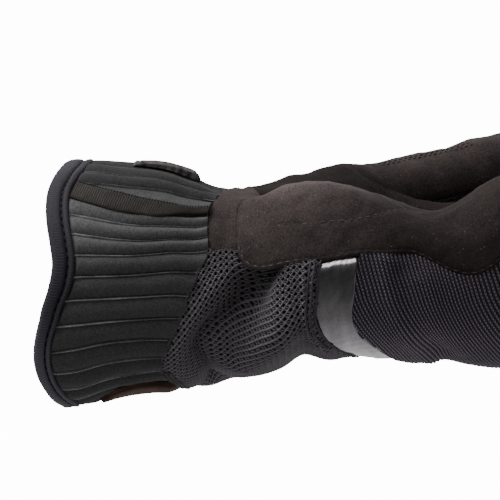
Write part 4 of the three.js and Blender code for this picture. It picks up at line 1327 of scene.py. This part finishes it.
def make_half(name, number, along, turn, front, pitch):
    """Suede front or knitted back of a finger."""
    digit, thumb = DIGITS[name], name == "thumb"
    first, columns = (0, FRONT_COLUMNS) if front else (HALF_TURN, BACK_COLUMNS)
    around = np.linspace(first, first + HALF_TURN, columns)
    A, D = np.meshgrid(along, around, indexing="ij")
    T = np.broadcast_to(turn[:, None], A.shape)
    outer = digit_surface(digit, A, T, D, 0.1)
    normals = grid_normals(outer)
    normals[-2:] = normals[-3:-2]
    relief = ripples(outer, (0.25, 12, 90 + number), (0.1, 5, 95 + number))
    if front:
        side, material, slot = "front", "suede nap", "suede"
        root = 36 if thumb else -2
        lit = 0.26 * smoothstep(root, root + 24, A)
        lines = sum(hump(A, joint * digit["long"], 1.6) for joint in FINGER_FOLDS)
        relief = relief - 0.5 * lines * np.sin(np.radians(D)) ** 2
    else:
        side, material, slot = "back", "rib knit", "knit"
        lit = (0.03 if thumb else 0.4) + 0 * A
        relief = relief + 0.2 * np.cos(spans(outer)[1] * 2 * math.pi / pitch)
    if thumb:
        relief = relief + thumb_swell(A, D)
    edge = np.minimum(D - first, first + HALF_TURN - D)
    relief = relief - 0.5 * np.clip(1 - edge / 6, 0, 1) ** 2
    outer = moved(outer, normals, relief * np.cos(T))
    inner = digit_surface(digit, A, T, D, -FINGER_WALL)
    shift = np.array([0, 0, FINGER_SHIFT if front else -FINGER_SHIFT])
    piece = cloth(f"{name}_{side}_{slot}", outer + shift, inner + shift, mask=lit)
    finish_piece(piece, material, slot, f"{name}_{side}")


def make_fingers(sizes):
    part = slice(10, 90)
    for number, (name, digit) in enumerate(DIGITS.items()):
        body = digit["long"] - digit["slim"] / 2
        along = np.concatenate([np.linspace(0, body, BODY_ROWS), np.full(TIP_ROWS, body)])
        tip = np.linspace(0, math.pi / 2, TIP_ROWS + 1)[1:]
        turn = np.concatenate([np.zeros(BODY_ROWS), tip])
        for front in (True, False):
            make_half(name, number, along, turn, front, sizes.knit_pitch)
        if name == "thumb":
            finish_thumb_seam(digit)
        for edge in FINGER_SEAMS:
            seam, ups = digit_seam(digit, along[part], turn[part], edge, 0.12)
            centres, ways, ups = stitch_row(seam, ups, sizes.stitch_pitch)
            piece = capsules(f"{name}_stitches_{edge}", centres, ways, ups, 1.5, 0.13)
            finish_piece(piece, "dark thread", "suede")


def finish_thumb_seam(digit):
    """Two rows of dark stitches along the top of the thumb."""
    along = np.linspace(50, 84, 90)
    grow = 0.25 + 1.2 * smoothstep(74, 92, along) + 1.5 * hump(along, 40, 5)
    for number, deg in enumerate((75.0, 83.0)):
        seam, ups = digit_seam(digit, along, np.zeros(len(along)), deg, 0.0)
        centres, ways, ups = stitch_row(moved(seam, ups, grow), ups, 1.9)
        piece = capsules(f"thumb_seam_{number}", centres, ways, ups, 1.3, 0.15)
        finish_piece(piece, "dark thread", "suede")


# stage

FLOOR_REACH, FLOOR_GAP = 3000, 0.05
FLOOR_SOFT, FLOOR_SEEN = 0.5, 14.0
# Where the floor's glow in gloss starts and ends, in metres, and its share of the brightness.
FLOOR_RAMPS = ((-0.18, -0.09, 0.3), (-0.08, -0.042, 0.9))
STUDIO_FAR, STUDIO_EVEN, STUDIO_ABOVE, STUDIO_SEEN = 0.5, 0.05, 0.25, 9.0
WHITE = (1, 1, 1, 1)
CAMERA_ELEVATION, CAMERA_ROLL, CAMERA_DISTANCE = 8, 4.22, 3.2
CAMERA_TARGET = (-39.96, -16.09, 38.5)
SENSOR_WIDTH = 36
LIGHTS_AIM = (-0.02, -0.02, 0.03)
# Where each light stands, its two sizes, its power, its colour, and whether it gives soft light
# and shows in gloss.
LIGHTS = (
    ("top light", (-0.45, 0.0, 0.85), (0.7, 0.7), 10.0, (1, 0.985, 0.97), True, True),
    ("front light", (-0.75, -1.0, 1.3), (0.9, 0.9), 6.9, (0.97, 0.98, 1), True, False),
    ("far light", (0.3, 1.2, 0.6), (1.0, 1.0), 4.0, (1, 1, 1), True, True),
    ("glint light", (0.0, -0.05, 0.9), (0.3, 0.8), 3.7, (1, 1, 1), False, True),
)


def make_stage(sizes):
    make_studio()
    make_floor(sizes.floor_glow)
    for light in LIGHTS:
        make_light(*light)
    make_camera()


def make_studio():
    """White behind the glove, and weak even light from above and from the far side."""
    world = bpy.data.worlds.new("studio")
    bpy.context.scene.world = world
    world.use_nodes = True
    world.node_tree.nodes.clear()
    tree = Tree(world.node_tree)
    place = tree.node("ShaderNodeTexCoord").outputs["Generated"]
    place = tree.node("ShaderNodeSeparateXYZ", {0: place}).outputs
    far, above = (tree.math("MAXIMUM", place[axis], 0.0) for axis in (1, 2))
    even = tree.math("MULTIPLY_ADD", far, STUDIO_FAR, STUDIO_EVEN)
    soft = tree.math("MULTIPLY_ADD", above, STUDIO_ABOVE, even)
    seen = tree.node("ShaderNodeLightPath").outputs["Is Camera Ray"]
    strength = tree.math("MULTIPLY_ADD", seen, STUDIO_SEEN, soft)
    back = tree.node("ShaderNodeBackground", {"Color": WHITE, "Strength": strength})
    world.node_tree.links.new(back.outputs[0], tree.node("ShaderNodeOutputWorld").inputs[0])


def make_floor(glow):
    """Pale floor that gives soft light, and shows darker in gloss away from the glove."""
    corners = np.array([(-1, -1, 0), (1, -1, 0), (1, 1, 0), (-1, 1, 0)]) * FLOOR_REACH
    floor = make_mesh("floor", [ORIGIN + corners - [0, 0, FLOOR_GAP]], [np.array([[0, 1, 2, 3]])])
    material = bpy.data.materials.new("pale floor")
    material.use_nodes = True
    tree = Tree(material.node_tree)
    shader = material.node_tree.nodes["Principled BSDF"]
    shader.inputs["Base Color"].default_value = (0.05, 0.05, 0.05, 1)
    shader.inputs["Roughness"].default_value = 0.9
    shader.inputs["Emission Color"].default_value = WHITE
    rays = tree.node("ShaderNodeLightPath").outputs
    place = tree.node("ShaderNodeTexCoord").outputs["Object"]
    towards = tree.node("ShaderNodeSeparateXYZ", {0: place}).outputs[1]
    far, close = (
        tree.node("ShaderNodeMapRange", {0: towards, 1: start, 2: end, 3: 0.0, 4: share * glow})
        for start, end, share in FLOOR_RAMPS
    )
    lit = tree.math("ADD", far.outputs[0], close.outputs[0])
    mirrored_glow = tree.math("MULTIPLY", rays["Is Glossy Ray"], lit)
    soft_glow = tree.math("MULTIPLY_ADD", rays["Is Diffuse Ray"], FLOOR_SOFT * glow, mirrored_glow)
    strength = tree.math("MULTIPLY_ADD", rays["Is Camera Ray"], FLOOR_SEEN, soft_glow)
    material.node_tree.links.new(strength, shader.inputs["Emission Strength"])
    floor.data.materials.append(material)


def make_light(name, place, size, watts, colour, soft, gloss):
    data = bpy.data.lights.new(name, "AREA")
    data.shape = "RECTANGLE"
    data.size, data.size_y = size
    data.energy = watts
    data.color = colour
    lamp = bpy.data.objects.new(name, data)
    lamp.visible_diffuse = soft
    lamp.visible_glossy = gloss
    lamp.location = place
    aim = Vector(LIGHTS_AIM) - Vector(place)
    lamp.rotation_euler = aim.to_track_quat("-Z", "Y").to_euler()
    bpy.context.scene.collection.objects.link(lamp)


def make_camera():
    elevation, roll = math.radians(CAMERA_ELEVATION), math.radians(CAMERA_ROLL)
    right, up = Vector((1, 0, 0)), Vector((0, math.sin(elevation), math.cos(elevation)))
    back = Vector((0, -math.cos(elevation), math.sin(elevation)))
    rolled_right = right * math.cos(roll) - up * math.sin(roll)
    rolled_up = right * math.sin(roll) + up * math.cos(roll)
    data = bpy.data.cameras.new("camera")
    data.sensor_width = SENSOR_WIDTH
    data.lens = SENSOR_WIDTH * CAMERA_DISTANCE / (FRAME_PIXELS / PIXELS_PER_MM * MM)
    data.clip_end = 20
    camera = bpy.data.objects.new("camera", data)
    turn = Matrix((rolled_right, rolled_up, back)).transposed().to_4x4()
    turn.translation = Vector(CAMERA_TARGET) * MM + back * CAMERA_DISTANCE
    camera.matrix_world = turn
    bpy.context.scene.collection.objects.link(camera)
    bpy.context.scene.camera = camera


# add-on


def length(name, text, millimetres):
    return FloatProperty(
        name=name, description=text, default=millimetres * MM, min=0.0, precision=4, unit="LENGTH"
    )


def colour_of(name, text, default):
    return FloatVectorProperty(
        name=name, description=text, default=default, subtype="COLOR", size=3, min=0, max=1
    )


class GloveSizes(bpy.types.PropertyGroup):
    rib_height: length("Rib height", "How far the cuff's ribs stand up", 1.0)
    stitch_pitch: length("Stitch pitch", "Distance from one stitch to the next", 2.6)
    mesh_cell: length("Mesh cell", "Size of one hole of the air mesh", 1.72)
    knit_pitch: length("Knit pitch", "Distance between the ribs of the knitted back", 1.17)
    floor_glow: FloatProperty(
        name="Floor glow",
        description="Brightness that the pale floor adds by itself",
        default=0.9,
        min=0.0,
        soft_max=2.0,
        subtype="FACTOR",
    )


class GloveColours(bpy.types.PropertyGroup):
    neoprene: colour_of("Neoprene", "Ribbed cuff", (0.034, 0.034, 0.0345))
    binding: colour_of("Binding", "Folded edge of the cuff", (0.032, 0.03, 0.037))
    tape: colour_of("Tape", "Woven tape on the cuff", (0.027, 0.025, 0.023))
    strap: colour_of("Strap", "Closure strap", (0.03, 0.027, 0.026))
    suede: colour_of("Suede", "Palm and fingers, in the folds", (0.015, 0.0115, 0.011))
    mesh: colour_of("Mesh", "Yarn of the air mesh", (0.21, 0.193, 0.21))
    band: colour_of("Band", "Reflective band", (0.182, 0.173, 0.18))
    knit: colour_of("Knit", "Ribbed back", (0.008, 0.007, 0.010))


def built(make, context):
    """Calls a maker with the user's sizes, their lengths in millimetres."""
    chosen = context.scene.glove_sizes
    names = ("rib_height", "stitch_pitch", "mesh_cell", "knit_pitch")
    lengths = {name: round(getattr(chosen, name) / MM, 4) for name in names}
    make(SimpleNamespace(floor_glow=chosen.floor_glow, **lengths))
    return {"FINISHED"}


class GLOVE_OT_materials(bpy.types.Operator):
    """Make the cloth, suede, mesh and thread materials"""

    bl_idname = "glove.materials"
    bl_label = "Materials"

    def execute(self, context):
        build_materials(context.scene.glove_colours)
        return {"FINISHED"}


class GLOVE_OT_cuff(bpy.types.Operator):
    """Build both ribbed parts of the cuff"""

    bl_idname = "glove.cuff"
    bl_label = "Ribbed cuff"

    def execute(self, context):
        return built(make_cuff, context)


class GLOVE_OT_binding(bpy.types.Operator):
    """Build the folded edge of the cuff and its stitches"""

    bl_idname = "glove.binding"
    bl_label = "Binding"

    def execute(self, context):
        return built(make_binding, context)


class GLOVE_OT_tape(bpy.types.Operator):
    """Build the woven tape over the cuff's seam"""

    bl_idname = "glove.tape"
    bl_label = "Seam tape"

    def execute(self, context):
        return built(make_tape, context)


class GLOVE_OT_strap(bpy.types.Operator):
    """Build the closure strap"""

    bl_idname = "glove.strap"
    bl_label = "Wrist strap"

    def execute(self, context):
        return built(make_strap, context)


class GLOVE_OT_patch(bpy.types.Operator):
    """Build the suede patch under the cuff"""

    bl_idname = "glove.patch"
    bl_label = "Cuff patch"

    def execute(self, context):
        return built(make_patch, context)


class GLOVE_OT_wrist(bpy.types.Operator):
    """Build the suede at the wrist"""

    bl_idname = "glove.wrist"
    bl_label = "Wrist piece"

    def execute(self, context):
        return built(make_wrist, context)


class GLOVE_OT_palm(bpy.types.Operator):
    """Build the padded heel and the palm"""

    bl_idname = "glove.palm"
    bl_label = "Palm"

    def execute(self, context):
        return built(make_palm, context)


class GLOVE_OT_mesh(bpy.types.Operator):
    """Build the mesh over the wrist"""

    bl_idname = "glove.mesh"
    bl_label = "Air mesh"

    def execute(self, context):
        return built(make_mesh_panel, context)


class GLOVE_OT_band(bpy.types.Operator):
    """Build the reflective band"""

    bl_idname = "glove.band"
    bl_label = "Reflective band"

    def execute(self, context):
        return built(make_band, context)


class GLOVE_OT_back(bpy.types.Operator):
    """Build the knitted back of the hand"""

    bl_idname = "glove.back"
    bl_label = "Ribbed back"

    def execute(self, context):
        return built(make_back, context)


class GLOVE_OT_fingers(bpy.types.Operator):
    """Build the fingers and the thumb"""

    bl_idname = "glove.fingers"
    bl_label = "Fingers"

    def execute(self, context):
        return built(make_fingers, context)


class GLOVE_OT_stage(bpy.types.Operator):
    """Build the floor, the lights and the camera"""

    bl_idname = "glove.stage"
    bl_label = "Stage"

    def execute(self, context):
        return built(make_stage, context)


PARTS = (
    GLOVE_OT_materials,
    GLOVE_OT_cuff,
    GLOVE_OT_binding,
    GLOVE_OT_tape,
    GLOVE_OT_strap,
    GLOVE_OT_patch,
    GLOVE_OT_wrist,
    GLOVE_OT_palm,
    GLOVE_OT_mesh,
    GLOVE_OT_band,
    GLOVE_OT_back,
    GLOVE_OT_fingers,
    GLOVE_OT_stage,
)


class GLOVE_PT_panel(bpy.types.Panel):
    bl_label = "Summer glove"
    bl_idname = "GLOVE_PT_panel"
    bl_space_type = "VIEW_3D"
    bl_region_type = "UI"
    bl_category = "Glove"

    def draw(self, context):
        for group in (context.scene.glove_sizes, context.scene.glove_colours):
            box = self.layout.box()
            for name in group.__annotations__:
                box.prop(group, name)
        for operator in PARTS:
            self.layout.operator(operator.bl_idname)


CLASSES = (GloveSizes, GloveColours, *PARTS, GLOVE_PT_panel)


def register():
    for item in CLASSES:
        bpy.utils.register_class(item)
    bpy.types.Scene.glove_sizes = PointerProperty(type=GloveSizes)
    bpy.types.Scene.glove_colours = PointerProperty(type=GloveColours)


def unregister():
    del bpy.types.Scene.glove_colours
    del bpy.types.Scene.glove_sizes
    for item in reversed(CLASSES):
        bpy.utils.unregister_class(item)


def main():
    register()
    for operator in PARTS:
        getattr(bpy.ops.glove, operator.bl_idname.split(".")[1])()


if __name__ == "__main__":
    main()
